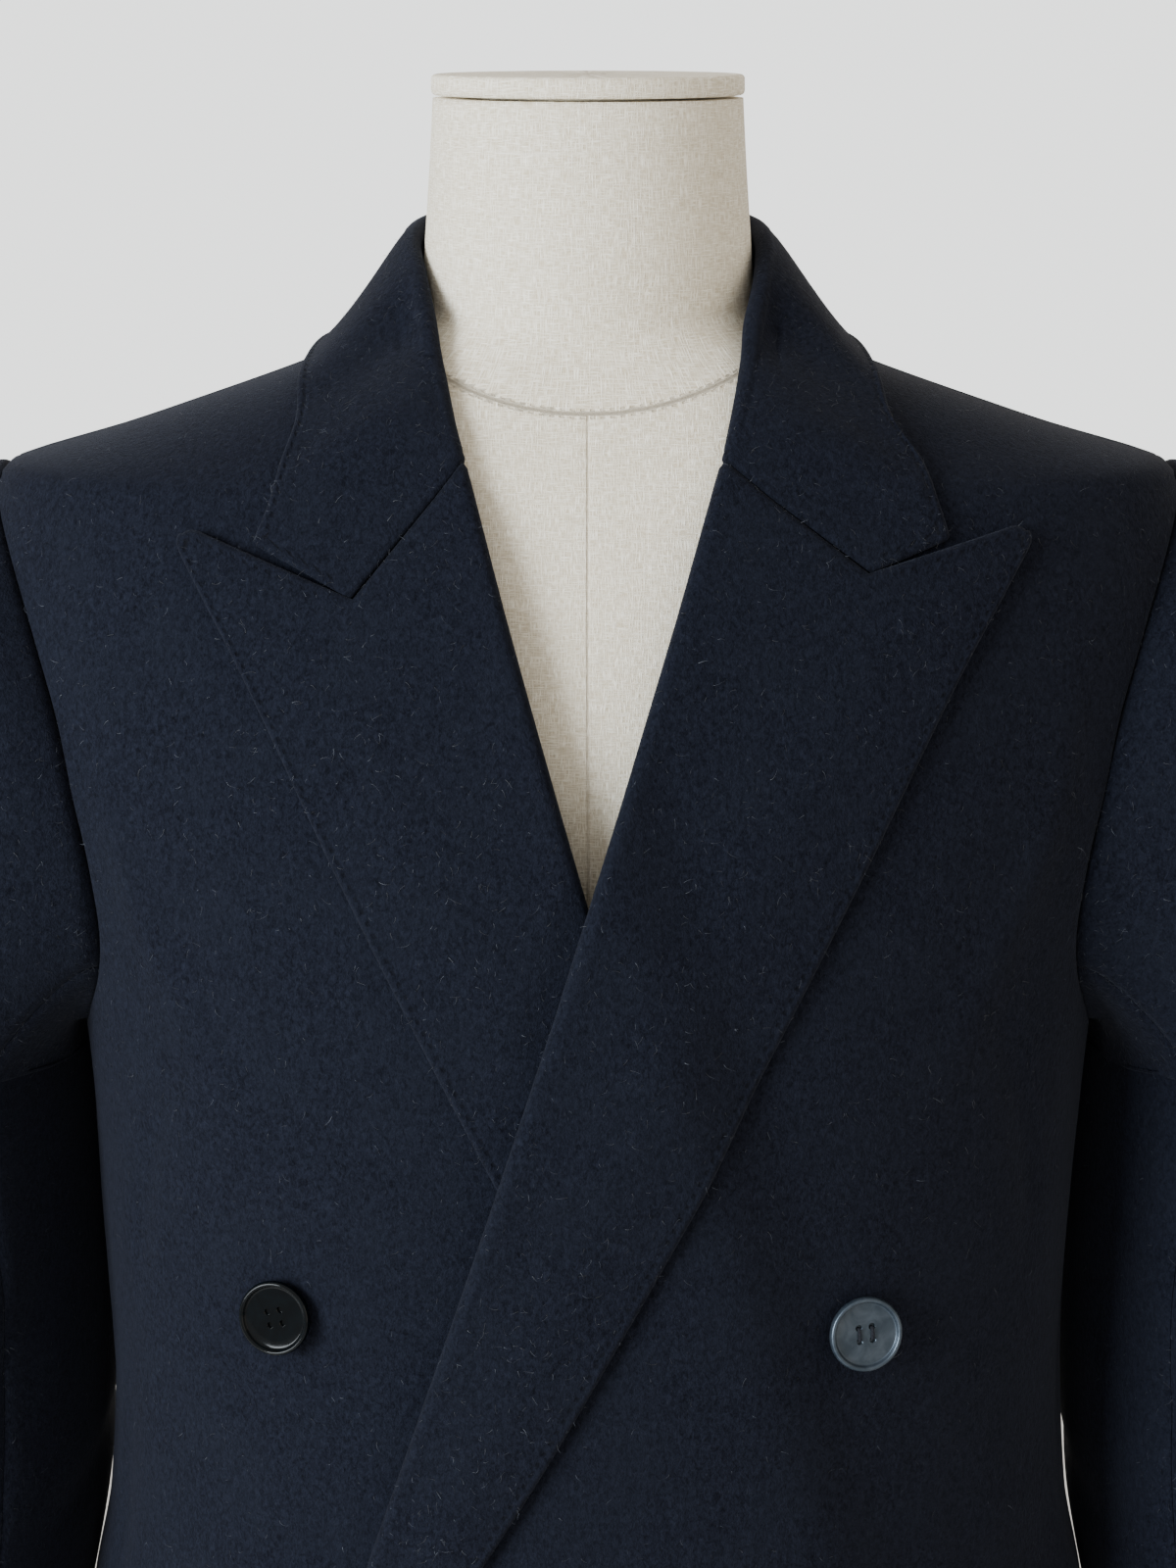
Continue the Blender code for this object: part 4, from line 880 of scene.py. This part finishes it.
def finished_mesh(name, shape, material):
    mesh = bpy.data.meshes.new(name)
    shape.to_mesh(mesh)
    shape.free()
    mesh.materials.append(material)
    return mesh


def lathe(name, profile, sides, material, centre=(0.0, 0.0)):
    """A turned piece: (radius, height) profile, closed at both ends."""
    turn = 2 * np.pi * np.arange(sides) / sides
    shape = bmesh.new()
    add_tube(shape, [np.stack((centre[0] + radius * np.cos(turn), centre[1] + radius * np.sin(turn),
                               np.full(sides, height)), axis=1) for radius, height in profile])
    return add_object(name, finished_mesh(name, shape, material))


BUTTON_SEGMENTS = 72
HOLE_SPACING = 0.18          # of the button's radius, from its middle
HOLE_RADIUS = 0.092
FACE_SHARE = 0.53            # of the button's thickness, up to the face inside the rim
THREAD_RADIUS = 0.00032
THREAD_SINK = 0.0010         # how far the thread's ends go into the holes
STRAND_SPACING = 0.00042
# The button's outline from its shank to its middle, in shares of radius and thickness.
BUTTON_OUTLINE = (
    (0.86, 0.0), (0.93, 0.06), (0.975, 0.22), (0.997, 0.45), (0.998, 0.62), (0.985, 0.80), (0.960, 0.93),
    (0.930, 0.99), (0.905, 0.99), (0.880, 0.93), (0.858, 0.80), (0.842, 0.64), (0.825, 0.56),
    (0.790, 0.54), (0.60, FACE_SHARE), (0.36, FACE_SHARE),
)


def button_blank(material):
    """A four-hole button: raised round rim, dished face, holes right through the face."""
    radius, thick = BUTTON_RADIUS, BUTTON_THICKNESS
    profile = [(SHANK_RADIUS, -BUTTON_LIFT), (SHANK_RADIUS, 0.0)]
    profile += [(radius * out, thick * up) for out, up in BUTTON_OUTLINE]
    button = lathe("button_blank", profile, BUTTON_SEGMENTS, material)
    drills = []
    for across in (-1, 1):
        for along in (-1, 1):
            centre = (across * radius * HOLE_SPACING, along * radius * HOLE_SPACING)
            hole = radius * HOLE_RADIUS
            drill = lathe("drill", [(hole, 0.0008), (hole, 0.02)], 20, material, centre)
            drills.append(drill)
            cut = button.modifiers.new("hole", "BOOLEAN")
            cut.operation, cut.solver, cut.object = "DIFFERENCE", "EXACT", drill
    bpy.context.view_layer.update()
    mesh = bpy.data.meshes.new_from_object(button.evaluated_get(bpy.context.evaluated_depsgraph_get()))
    for used in drills + [button]:
        bpy.data.objects.remove(used)
    mesh.materials.clear()
    mesh.materials.append(material)
    for face in mesh.polygons:
        face.use_smooth = len(face.vertices) == 4
    return mesh


def thread_mesh(material):
    """Two upright bars of sewing thread over the face, each a few strands, from hole to hole."""
    shape = bmesh.new()
    radius, thick, gap = THREAD_RADIUS, BUTTON_THICKNESS * FACE_SHARE, BUTTON_RADIUS * HOLE_SPACING
    round_thread = np.linspace(0, 2 * math.pi, 8, endpoint=False)
    for side in (-1, 1):
        for strand in range(3):
            x = side * gap + (strand - 1) * STRAND_SPACING
            rings = []
            for step in range(13):
                u = -1 + step / 6
                height = thick + 0.00045 * math.sqrt(max(0.0, 1 - abs(u) ** 4)) + 0.00008 * (strand % 2)
                if abs(u) > 0.93:
                    height = thick - THREAD_SINK
                middle = Vector((x + 0.00010 * math.sin(3 * u + strand), u * gap * 1.05, height))
                rings.append([(middle.x + radius * math.cos(turn), middle.y,
                               middle.z + radius * math.sin(turn)) for turn in round_thread])
            add_tube(shape, rings)
    mesh = finished_mesh("button_thread", shape, material)
    mesh.shade_smooth()
    return mesh


def add_buttons(materials):
    thread = thread_mesh(materials["thread"])
    numbers = {"left": 0, "right": 0}
    for side, height, reach, carrier, extra, turn, threaded in BUTTONS:
        numbers[side] += 1
        label = f"{side}_{numbers[side]}"
        own_reach = reach if side == carrier else -reach
        x = SIDES[side] * reach
        normal = surface_normal(angle_at(x, height), height)
        offset = CLOTH + SEAM_GAP + BUTTON_LIFT + BUTTON_CLEARANCE + extra
        seat = front_point(carrier, own_reach, height, offset)
        normal = unit(normal * (1 - BUTTON_TURN) + np.array(BUTTON_FACING) * BUTTON_TURN)
        across = unit(np.cross((0.0, 0.0, 1.0), normal))
        upward = np.cross(normal, across)
        place = Matrix.Translation(Vector(seat)) @ Matrix((across, upward, normal)).transposed().to_4x4()
        place = place @ Matrix.Rotation(math.radians(turn), 4, "Z")
        button = add_object(f"horn_button_{label}", button_blank(materials["button_" + side]))
        button.matrix_world = place
        claim(button, f"button_{label}")
        if threaded:
            bars = add_object(f"thread_{label}", thread)
            bars.matrix_world = place
            claim(bars)


# ---- loose fibres ----
FIBRES = 15000
FIBRE_SEED = 7
FIBRE_LENGTH = (0.0012, 0.0046)
FIBRE_WIDTH = (0.00005, 0.00009)
FIBRE_JOINTS = 5


def add_fibres(material):
    """Short curled fibres that stand out of the nap, in one mesh of thin ribbons."""
    draw = np.random.default_rng(FIBRE_SEED)
    seats = np.concatenate([seat[0] for seat in fibre_seats])
    normals = np.concatenate([seat[1] for seat in fibre_seats])
    picked = draw.integers(0, len(seats), FIBRES)
    seat, normal = seats[picked] + draw.normal(0, 0.0006, (FIBRES, 3)), normals[picked]
    seat = seat - normal * np.sum((seat - seats[picked]) * normal, axis=1, keepdims=True)
    aside = draw.normal(0, 1, (FIBRES, 3)) + np.array((0.0, 0.0, -0.5))
    aside = unit(aside - normal * np.sum(aside * normal, axis=1, keepdims=True))
    length = draw.uniform(*FIBRE_LENGTH, (FIBRES, 1)) * draw.uniform(0.4, 1.0, (FIBRES, 1))
    rise = draw.uniform(0.10, 0.95, (FIBRES, 1)) ** 1.6
    curl = draw.normal(0, 0.9, (FIBRES, 1))
    width = draw.uniform(*FIBRE_WIDTH, (FIBRES, 1))
    across = np.cross(normal, aside)
    points = []
    for u in np.linspace(0, 1, FIBRE_JOINTS):
        bend = across * curl * u * u * 0.8
        centre = seat + (aside * u + bend + normal * rise * (u - 0.45 * u * u)) * length
        half = across * width * (1.0 - 0.7 * u)
        points += [centre - half, centre + half]
    points = np.stack(points, axis=1).reshape(-1, 3)
    first = (np.arange(FIBRES)[:, None] * 2 * FIBRE_JOINTS + np.arange(FIBRE_JOINTS - 1) * 2).ravel()
    faces = np.stack((first, first + 1, first + 3, first + 2), axis=1)
    fibres = build_mesh("wool_fibres", points, faces, material)
    claim(fibres)


# ---- dress form ----
FORM_AROUND = 240
BUST_UNDERSIDE = (0.150, 0.103, 0.112)      # half width, depth in front and behind
NECK_SEAM = (1.4735, 0.0125, 0.057)         # height in front, rise at the sides, half width


def form_ring(angles, half_width, front, back, roundness, z):
    across, along = np.sin(np.radians(angles)), np.cos(np.radians(angles))
    power = 2.0 / roundness
    x = half_width * np.sign(across) * np.abs(across) ** power
    depth = np.where(along > 0, -front, back)
    return np.stack((x, depth * np.abs(along) ** power, np.full(len(angles), z)), axis=1)


def add_form(material):
    """The stuffed linen body: a fine skin of rings, with the neck seam drawn in."""
    bust_width, bust_front, bust_back = column_curves(BUST_SECTIONS)
    neck_radius, neck_y = column_curves(NECK_SECTIONS)
    angles = 180.0 + 360.0 * np.arange(FORM_AROUND) / FORM_AROUND

    def bust_ring(z):
        return form_ring(angles, bust_width(z), bust_front(z), bust_back(z), ROUNDNESS, z)

    def shoulder_ring(z):
        return section_point(angles, z) + surface_normal(angles, z) * SEAT_OFFSET

    rings = [form_ring(angles, *(size * share for size in BUST_UNDERSIDE), ROUNDNESS, BUST_ROWS[0] - 0.012)
             for share in (0.02, 0.5, 1.0)]
    for low, high in zip(BUST_ROWS, BUST_ROWS[1:]):
        rings += [bust_ring(low + (high - low) * step / 6) for step in range(6)]
    last, seat = BUST_ROWS[-1], SHOULDER_ROWS[0]
    for z in np.linspace(last, SHOULDER_ROWS[-1], 44):
        if z < seat:
            start = bust_ring(last)
            rings.append(start + (shoulder_ring(seat) - start) * ((z - last) / (seat - last)))
        else:
            rings.append(shoulder_ring(z))
    first_neck = NECK_SECTIONS[0][0]
    for z in np.linspace(first_neck, NECK_SECTIONS[-1][0] - 0.0008, 40):
        ring = form_ring(angles, neck_radius(z), neck_radius(z), neck_radius(z), 2.0, z)
        ring[:, 1] += neck_y(z)
        rings.append(ring)
    grid = np.array(rings)
    for _ in range(3):
        neck = grid[-62:-30]
        grid[-61:-31] = neck[1:-1] * 0.5 + (neck[:-2] + neck[2:]) * 0.25
    level, rise, half = NECK_SEAM
    seam_height = level + rise * np.clip(np.abs(grid[..., 0]) / half, 0, 1.4) ** 2
    seam_height = seam_height + 0.012 * (grid[..., 1] > 0)
    on_neck = grid[..., 2] > seam_height
    turn = np.arctan2(grid[..., 0], -grid[..., 1] + NECK_CENTRE_Y)
    weave_u = np.where(on_neck, turn * NECK_SECTIONS[0][1], grid[..., 0] * 1.05)
    weave_v = np.where(on_neck, grid[..., 2], grid[..., 2] * 1.35 + 0.5)
    seam_away = (grid[..., 2] - seam_height) * 1.6
    front_away = np.where((grid[..., 1] < 0) & (grid[..., 2] < seam_height), grid[..., 0], 0.05)
    seam_run = np.degrees(np.arctan2(grid[..., 0], -grid[..., 1])) * 0.0012
    corner = np.arange(len(grid) - 1)[:, None] * FORM_AROUND + np.arange(FORM_AROUND)[None, :]
    after = np.roll(corner, -1, axis=1)
    faces = np.stack((corner, after, after + FORM_AROUND, corner + FORM_AROUND), axis=2).reshape(-1, 4)
    values = (("weave_u", weave_u), ("weave_v", weave_v), ("seam_away", seam_away),
              ("front_away", front_away), ("seam_run", seam_run))
    piece = build_mesh("linen_bust", grid.reshape(-1, 3), faces, material, values)
    face_outward(piece.data, fill=True)
    piece.data.shade_smooth()
    claim(piece, "form_bust")


def add_cap(material):
    """The cloth-covered disc on top of the neck, its cloth turned over the edge."""
    low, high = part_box("form_cap")
    centre_y, radius = (low.y + high.y) / 2, (high.x - low.x) / 2
    profile = [(radius * share, low.z) for share in (0.3, 0.8)]
    edge, steps = 0.0019, 10
    for step in range(steps + 1):
        turn = -math.pi / 2 + math.pi * step / steps
        height = (low.z + high.z) / 2 + ((high.z - low.z) / 2 - edge) * (1 if turn > 0 else -1)
        profile.append((radius - edge + edge * math.cos(turn), height + edge * math.sin(turn)))
    profile += [(radius * share, high.z - 0.0001 + 0.0003 * (1 - share)) for share in (0.94, 0.8, 0.5, 0.2)]
    piece = lathe("linen_cap", profile, 160, material, (0.0, centre_y))
    piece.data.shade_smooth()
    count = len(piece.data.vertices)
    place = np.zeros(count * 3, np.float32)
    piece.data.vertices.foreach_get("co", place)
    place = place.reshape(-1, 3)
    turn = np.arctan2(place[:, 0], -place[:, 1])
    far = np.full(count, 1.0)          # no seam near
    add_values(piece.data, (("weave_u", turn * radius), ("weave_v", place[:, 2]), ("seam_away", far),
                            ("front_away", far), ("seam_run", np.zeros(count))))
    claim(piece, "form_cap")


def rounded_profile(points, radius, steps=4):
    """A profile whose inner corners are rounded."""
    made = [points[0]]
    for before, corner, after in zip(points, points[1:], points[2:]):
        before, corner, after = (np.array(point, float) for point in (before, corner, after))
        reach = min(radius, np.linalg.norm(before - corner) / 2.2, np.linalg.norm(after - corner) / 2.2)
        start, end = corner + unit(before - corner) * reach, corner + unit(after - corner) * reach
        for u in np.linspace(0, 1, steps):
            made.append(tuple(start * (1 - u) ** 2 + corner * 2 * u * (1 - u) + end * u * u))
    return made + [points[-1]]


def add_stand(metal, wood):
    """The pole, the socket under the body and the round wooden base."""
    low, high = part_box("form_socket")
    foot, top = low.z, high.z
    socket = [(0.024, foot), (0.026, foot + 0.002), (0.026, top - 0.008), (0.060, top - 0.008), (0.060, top)]
    low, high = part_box("form_pole")
    pole = [((high.x - low.x) / 2, low.z), ((high.x - low.x) / 2, high.z)]
    low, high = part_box("form_base")
    radius, thick = (high.x - low.x) / 2, BASE_THICKNESS
    base = [(radius - 0.004, 0.0), (radius, 0.004), (radius, thick - 0.006), (radius - 0.010, thick),
            (0.075, thick + 0.0015), (0.050, thick + 0.003), (0.040, thick + 0.009), (0.036, high.z)]
    for name, node, profile, bend, material, slot in (
            ("steel_socket", "form_socket", socket, 0.0012, metal, "steel"),
            ("steel_pole", "form_pole", pole, 0.0012, metal, "steel"),
            ("wood_base", "form_base", base, 0.004, wood, "wood")):
        piece = lathe(name, rounded_profile(profile, bend), 128, material)
        piece.data.shade_smooth()
        piece.data.set_sharp_from_angle(angle=math.radians(40))
        claim(piece, node)


# ---- materials ----
class Nodes:
    """Short calls for building a material's node tree."""

    def __init__(self, name):
        self.material = bpy.data.materials.new(name)
        self.material.use_nodes = True
        self.tree = self.material.node_tree
        self.shader = self.tree.nodes["Principled BSDF"]

    def add(self, kind, settings=(), **inputs):
        node = self.tree.nodes.new("ShaderNode" + kind)
        for key, value in dict(settings).items():
            setattr(node, key, value)
        for key, value in inputs.items():
            self.feed(node, int(key[1:]) if key[1:].isdigit() else key.replace("_", " "), value)
        return node

    def feed(self, node, key, value):
        if hasattr(value, "is_output"):
            self.tree.links.new(value, node.inputs[key])
        else:
            node.inputs[key].default_value = value

    def attribute(self, name):
        return self.add("Attribute", {"attribute_name": name}).outputs["Fac"]

    def place(self):
        return self.add("TexCoord").outputs["Object"]

    def math(self, operation, first, second=0.0, third=0.0):
        return self.add("Math", {"operation": operation}, i0=first, i1=second, i2=third).outputs[0]

    def stretch(self, vector, scale):
        return self.add("VectorMath", {"operation": "MULTIPLY"}, i0=vector, i1=scale).outputs[0]

    def noise(self, vector, scale, detail=2.0, roughness=0.5, distortion=0.0):
        return self.add("TexNoise", Vector=vector, Scale=scale, Detail=detail, Roughness=roughness,
                        Distortion=distortion).outputs["Fac"]

    def ramp(self, value, low, high, colour_low, colour_high):
        node = self.add("ValToRGB", i0=value)
        node.color_ramp.elements[0].position, node.color_ramp.elements[1].position = low, high
        node.color_ramp.elements[0].color = (*colour_low, 1.0)
        node.color_ramp.elements[1].color = (*colour_high, 1.0)
        return node.outputs["Color"]

    def mix(self, share, first, second):
        node = self.add("Mix", {"data_type": "RGBA"})
        self.feed(node, 0, share)
        self.feed(node, 6, first if hasattr(first, "is_output") else (*first, 1.0))
        self.feed(node, 7, second if hasattr(second, "is_output") else (*second, 1.0))
        return node.outputs[2]

    def map_range(self, value, low, high, to_low=0.0, to_high=1.0):
        return self.add("MapRange", {"interpolation_type": "SMOOTHSTEP"}, i0=value, i1=low, i2=high,
                        i3=to_low, i4=to_high).outputs[0]

    def bump(self, height, strength, distance):
        return self.add("Bump", Strength=strength, Distance=distance, Height=height).outputs["Normal"]

    def stitches(self, run, aside, pitch, half_length, half_width):
        """1 in the middle of each stitch of a row: run is the distance along it, aside from it."""
        beat = self.math("FRACT", self.math("DIVIDE", run, pitch))
        along = self.math("ABSOLUTE", self.math("SUBTRACT", beat, 0.5))
        return self.math("MULTIPLY", self.map_range(along, *half_length, 1.0, 0.0),
                         self.map_range(aside, *half_width, 1.0, 0.0))

    def finish(self, colour, normal=None, roughness=0.9, **fixed):
        self.feed(self.shader, "Base Color", colour)
        self.feed(self.shader, "Roughness", roughness)
        if normal is not None:
            self.feed(self.shader, "Normal", normal)
        for key, value in fixed.items():
            self.shader.inputs[key.replace("_", " ")].default_value = value
        return self.material


STITCH_INSET, STITCH_PITCH = 0.0042, 0.0052
LINEN_STITCH_INSET, LINEN_STITCH_PITCH = 0.0022, 0.0036


def wool_material():
    """Dark navy melton: a short brushed nap over a felted weave, with stray lighter fibres."""
    n = Nodes("navy_melton")
    place = n.place()
    upright = n.stretch(place, (1.0, 1.0, 0.70))
    nap, clumps = n.noise(upright, 1500.0, 3.0, 0.65), n.noise(upright, 560.0, 3.0, 0.62, 0.8)
    patches = n.noise(place, 26.0, 3.0, 0.55)
    streak = n.noise(n.stretch(place, (1.0, 1.0, 0.30)), 1500.0, 2.0, 0.5)
    tone = n.math("MULTIPLY_ADD", clumps, 0.62, n.math("MULTIPLY", nap, 0.38))
    colour = n.ramp(tone, 0.35, 0.68, (0.0012, 0.0016, 0.0038), (0.0083, 0.0104, 0.0193))
    colour = n.mix(n.map_range(patches, 0.35, 0.70, 0.0, 0.28), colour, (0.0064, 0.0082, 0.0138))
    colour = n.mix(n.map_range(streak, 0.66, 0.80, 0.0, 0.50), colour, (0.024, 0.027, 0.036))
    aside = n.math("ABSOLUTE", n.math("SUBTRACT", n.attribute("stitch_away"), STITCH_INSET))
    dimple_and_shade = n.stitches(n.attribute("stitch_run"), aside, STITCH_PITCH, (0.10, 0.26), (0.0003, 0.0013))
    groove = n.map_range(aside, 0.0, 0.0028, 1.0, 0.0)
    height = n.math("MULTIPLY", nap, 0.42)
    for part, share in ((clumps, 0.60), (streak, 0.16), (dimple_and_shade, -0.42), (groove, -0.16)):
        height = n.math("MULTIPLY_ADD", part, share, height)
    # Painted shade: the colour darkens in each pick-stitch dimple, as if shade fell there.
    colour = n.mix(n.math("MULTIPLY", dimple_and_shade, 0.55), colour, (0.0014, 0.0017, 0.0030))
    # Painted shade: the colour darkens to near black in the gorge seam's valley, as if shade fell there.
    valley_and_shade = n.map_range(n.attribute("seam"), 0.50, 1.0, 0.0, 0.3)
    colour = n.mix(valley_and_shade, colour, (0.0006, 0.0008, 0.0014))
    rough = n.map_range(tone, 0.30, 0.70, 0.96, 0.86)
    return n.finish(colour, n.bump(height, 0.75, 0.0011), rough, Sheen_Weight=0.052, Sheen_Roughness=0.38,
                    Sheen_Tint=(0.62, 0.68, 0.86, 1.0), Specular_IOR_Level=0.08)


def fibre_material():
    n = Nodes("navy_fibre")
    tone = n.noise(n.place(), 300.0, 1.0)
    colour = n.ramp(tone, 0.40, 0.62, (0.0050, 0.0064, 0.0100), (0.040, 0.048, 0.066))
    return n.finish(colour, None, 0.6, Sheen_Weight=0.1)


def linen_material():
    """Cream plain-weave linen with slubs, and the form's stitched seams."""
    n = Nodes("cream_linen")
    u, v = n.attribute("weave_u"), n.attribute("weave_v")
    weave = n.add("CombineXYZ", X=u, Y=v, Z=0.0).outputs[0]
    warp = n.noise(n.stretch(weave, (1.0, 0.10, 1.0)), 1750.0, 2.0, 0.6)
    weft = n.noise(n.stretch(weave, (0.10, 1.0, 1.0)), 1750.0, 2.0, 0.6)
    slub_v = n.noise(n.stretch(weave, (1.0, 0.03, 1.0)), 640.0, 2.0, 0.5)
    slub_u = n.noise(n.stretch(weave, (0.03, 1.0, 1.0)), 640.0, 2.0, 0.5)
    grain = n.math("MAXIMUM", warp, weft)
    slubs = n.math("MAXIMUM", slub_v, slub_u)
    patches = n.noise(n.place(), 9.0, 2.0, 0.5)
    colour = n.ramp(grain, 0.44, 0.70, (0.600, 0.520, 0.380), (0.985, 0.945, 0.825))
    colour = n.mix(n.map_range(slubs, 0.62, 0.76, 0.0, 0.30), colour, (0.950, 0.910, 0.830))
    colour = n.mix(n.map_range(patches, 0.30, 0.70, 0.0, 0.12), colour, (0.740, 0.660, 0.540))
    seam = n.math("ABSOLUTE", n.attribute("seam_away"))
    centre = n.math("ABSOLUTE", n.attribute("front_away"))
    near = n.math("MINIMUM", seam, centre)
    faint = n.math("MULTIPLY", n.map_range(centre, 0.0001, 0.0009, 1.0, 0.0), 0.55)
    valley_and_shade = n.math("MAXIMUM", n.map_range(seam, 0.0002, 0.0014, 1.0, 0.0), faint)
    shoulder = n.map_range(near, 0.0008, 0.0040, 1.0, 0.0)
    aside = n.math("ABSOLUTE", n.math("SUBTRACT", seam, LINEN_STITCH_INSET))
    stitch = n.stitches(n.attribute("seam_run"), aside, LINEN_STITCH_PITCH, (0.18, 0.32), (0.0003, 0.0008))
    # Painted shade: the colour darkens in the grooves of the neck seam and the centre front seam.
    colour = n.mix(n.math("MULTIPLY", valley_and_shade, 0.48), colour, (0.250, 0.185, 0.120))
    colour = n.mix(n.math("MULTIPLY", stitch, 0.45), colour, (0.420, 0.340, 0.240))
    height = grain
    for part, share in ((slubs, 0.35), (valley_and_shade, -1.2), (shoulder, -0.22), (stitch, -0.6)):
        height = n.math("MULTIPLY_ADD", part, share, height)
    return n.finish(colour, n.bump(height, 0.85, 0.0009), 0.88, Sheen_Weight=0.10, Sheen_Roughness=0.5,
                    Specular_IOR_Level=0.25)


def button_material(name, dark, light, roughness, metallic, gloss):
    """Polished horn: a turned face with very faint rings and clouded colour."""
    n = Nodes(name)
    place = n.place()
    cloud = n.noise(place, 130.0, 3.0, 0.6, 0.8)
    scratches = n.noise(n.stretch(place, (1.0, 0.12, 1.0)), 1400.0, 2.0, 0.5)
    colour = n.ramp(cloud, 0.38, 0.70, dark, light)
    rough = n.math("MULTIPLY_ADD", scratches, 0.10, roughness - 0.05)
    rings = n.add("TexWave", {"wave_type": "RINGS", "rings_direction": "Z"}, Vector=place, Scale=520.0,
                  Distortion=0.6, Detail=1.0).outputs["Fac"]
    height = n.math("MULTIPLY_ADD", rings, 0.4, scratches)
    if metallic:
        n.feed(n.shader, "Tangent", n.add("Tangent", {"direction_type": "RADIAL", "axis": "Z"}).outputs[0])
    return n.finish(colour, n.bump(height, 0.05, 0.00008), rough, Specular_IOR_Level=gloss, Metallic=metallic,
                    Anisotropic=0.8 if metallic else 0.0)


def thread_material():
    n = Nodes("dark_thread")
    twist = n.noise(n.stretch(n.place(), (1.0, 0.5, 1.0)), 4200.0, 2.0, 0.6)
    colour = n.ramp(twist, 0.35, 0.65, (0.003, 0.004, 0.006), (0.016, 0.018, 0.026))
    return n.finish(colour, n.bump(twist, 0.5, 0.0002), 0.8, Specular_IOR_Level=0.2)


def steel_material():
    n = Nodes("blackened_steel")
    brushed = n.noise(n.stretch(n.place(), (1.0, 1.0, 0.04)), 900.0, 2.0, 0.5)
    smudge = n.noise(n.place(), 14.0, 3.0, 0.6)
    colour = n.ramp(smudge, 0.30, 0.75, (0.030, 0.030, 0.032), (0.060, 0.060, 0.062))
    rough = n.math("MULTIPLY_ADD", brushed, 0.18, 0.26)
    return n.finish(colour, n.bump(brushed, 0.08, 0.0002), rough, Metallic=1.0)


def wood_material():
    n = Nodes("dark_wood")
    grain = n.noise(n.stretch(n.place(), (14.0, 1.0, 14.0)), 9.0, 4.0, 0.6, 0.4)
    pores = n.noise(n.stretch(n.place(), (60.0, 2.0, 60.0)), 22.0, 2.0, 0.5)
    colour = n.ramp(grain, 0.32, 0.72, (0.040, 0.019, 0.009), (0.150, 0.078, 0.038))
    colour = n.mix(n.map_range(pores, 0.58, 0.70, 0.0, 0.6), colour, (0.020, 0.010, 0.006))
    height = n.math("MULTIPLY_ADD", pores, -0.6, grain)
    return n.finish(colour, n.bump(height, 0.15, 0.0006), 0.42, Coat_Weight=0.25, Coat_Roughness=0.2)


def floor_material():
    n = Nodes("pale_floor")
    speckle = n.noise(n.place(), 60.0, 3.0, 0.6)
    colour = n.ramp(speckle, 0.30, 0.75, (0.66, 0.65, 0.63), (0.72, 0.71, 0.69))
    return n.finish(colour, None, 0.8)


# ---- camera, light and floor ----
CAMERA_PLACE = (0.0, -1.30, 1.6295)
CAMERA_DOWN = 13.9           # degrees below level
ROOM_LIGHT = 1.18
WALL_BRIGHTNESS = 2.55


def add_camera():
    data = bpy.data.cameras.new("camera")
    data.lens, data.sensor_width = 72.9, 36.0
    camera = add_object("camera", data)
    camera.location = CAMERA_PLACE
    camera.rotation_euler = (math.radians(90.0 - CAMERA_DOWN), 0.0, 0.0)
    bpy.context.scene.camera = camera


# Lights aimed at the chest: name, place, width and height, watts, colour.
AREA_LIGHTS = (
    ("window", (-2.35, -1.95, 1.85), (1.5, 1.7), 200.0, (0.87, 0.94, 1.0)),
    ("fill", (2.6, -1.8, 1.5), (2.2, 2.2), 12.0, (1.0, 0.86, 0.68)),
    ("behind", (0.4, 2.4, 2.0), (2.0, 2.0), 16.0, (1.0, 0.97, 0.93)),
)
CHEST = (0.0, 0.0, 1.25)


def add_area_light(name, place, size, power, colour):
    data = bpy.data.lights.new(name, "AREA")
    data.shape, data.size, data.size_y = "RECTANGLE", size[0], size[1]
    data.energy, data.color = power, colour
    light = add_object(name, data)
    light.location = place
    light.rotation_euler = (Vector(CHEST) - Vector(place)).to_track_quat("-Z", "Y").to_euler()


def add_lights():
    for light in AREA_LIGHTS:
        add_area_light(*light)
    world = bpy.data.worlds.new("room")
    bpy.context.scene.world = world
    world.use_nodes = True
    tree = world.node_tree
    room, wall = tree.nodes["Background"], tree.nodes.new("ShaderNodeBackground")
    for shade, colour, strength in ((room, (0.80, 0.76, 0.70, 1.0), ROOM_LIGHT),
                                    (wall, (0.800, 0.815, 0.810, 1.0), WALL_BRIGHTNESS)):
        shade.inputs["Color"].default_value = colour
        shade.inputs["Strength"].default_value = strength
    seen = tree.nodes.new("ShaderNodeLightPath")
    both = tree.nodes.new("ShaderNodeMixShader")
    tree.links.new(seen.outputs["Is Camera Ray"], both.inputs["Fac"])
    tree.links.new(room.outputs["Background"], both.inputs[1])
    tree.links.new(wall.outputs["Background"], both.inputs[2])
    tree.links.new(both.outputs["Shader"], tree.nodes["World Output"].inputs["Surface"])


def add_floor(material):
    bpy.ops.mesh.primitive_plane_add(size=14.0, location=(0.0, 0.0, 0.0))
    floor = bpy.context.object
    floor.name = "floor"
    floor.data.materials.append(material)


def main():
    wool, linen = wool_material(), linen_material()
    materials = {
        "thread": thread_material(),
        "button_left": button_material("grey_horn", (0.030, 0.042, 0.056), (0.058, 0.074, 0.094),
                                       0.30, 0.55, 0.26),
        "button_right": button_material("navy_horn", (0.0004, 0.0012, 0.0020), (0.0010, 0.0024, 0.0036),
                                        0.08, 0.0, 0.17),
    }
    add_form(linen)
    add_cap(linen)
    add_stand(steel_material(), wood_material())
    for side in SIDES:
        add_front(side, wool)
        add_back(side, wool)
        add_lapel(side, wool)
        add_sleeve(side, wool)
    add_collar(wool)
    add_fibres(fibre_material())
    add_buttons(materials)
    add_camera()
    add_lights()
    add_floor(floor_material())


main()
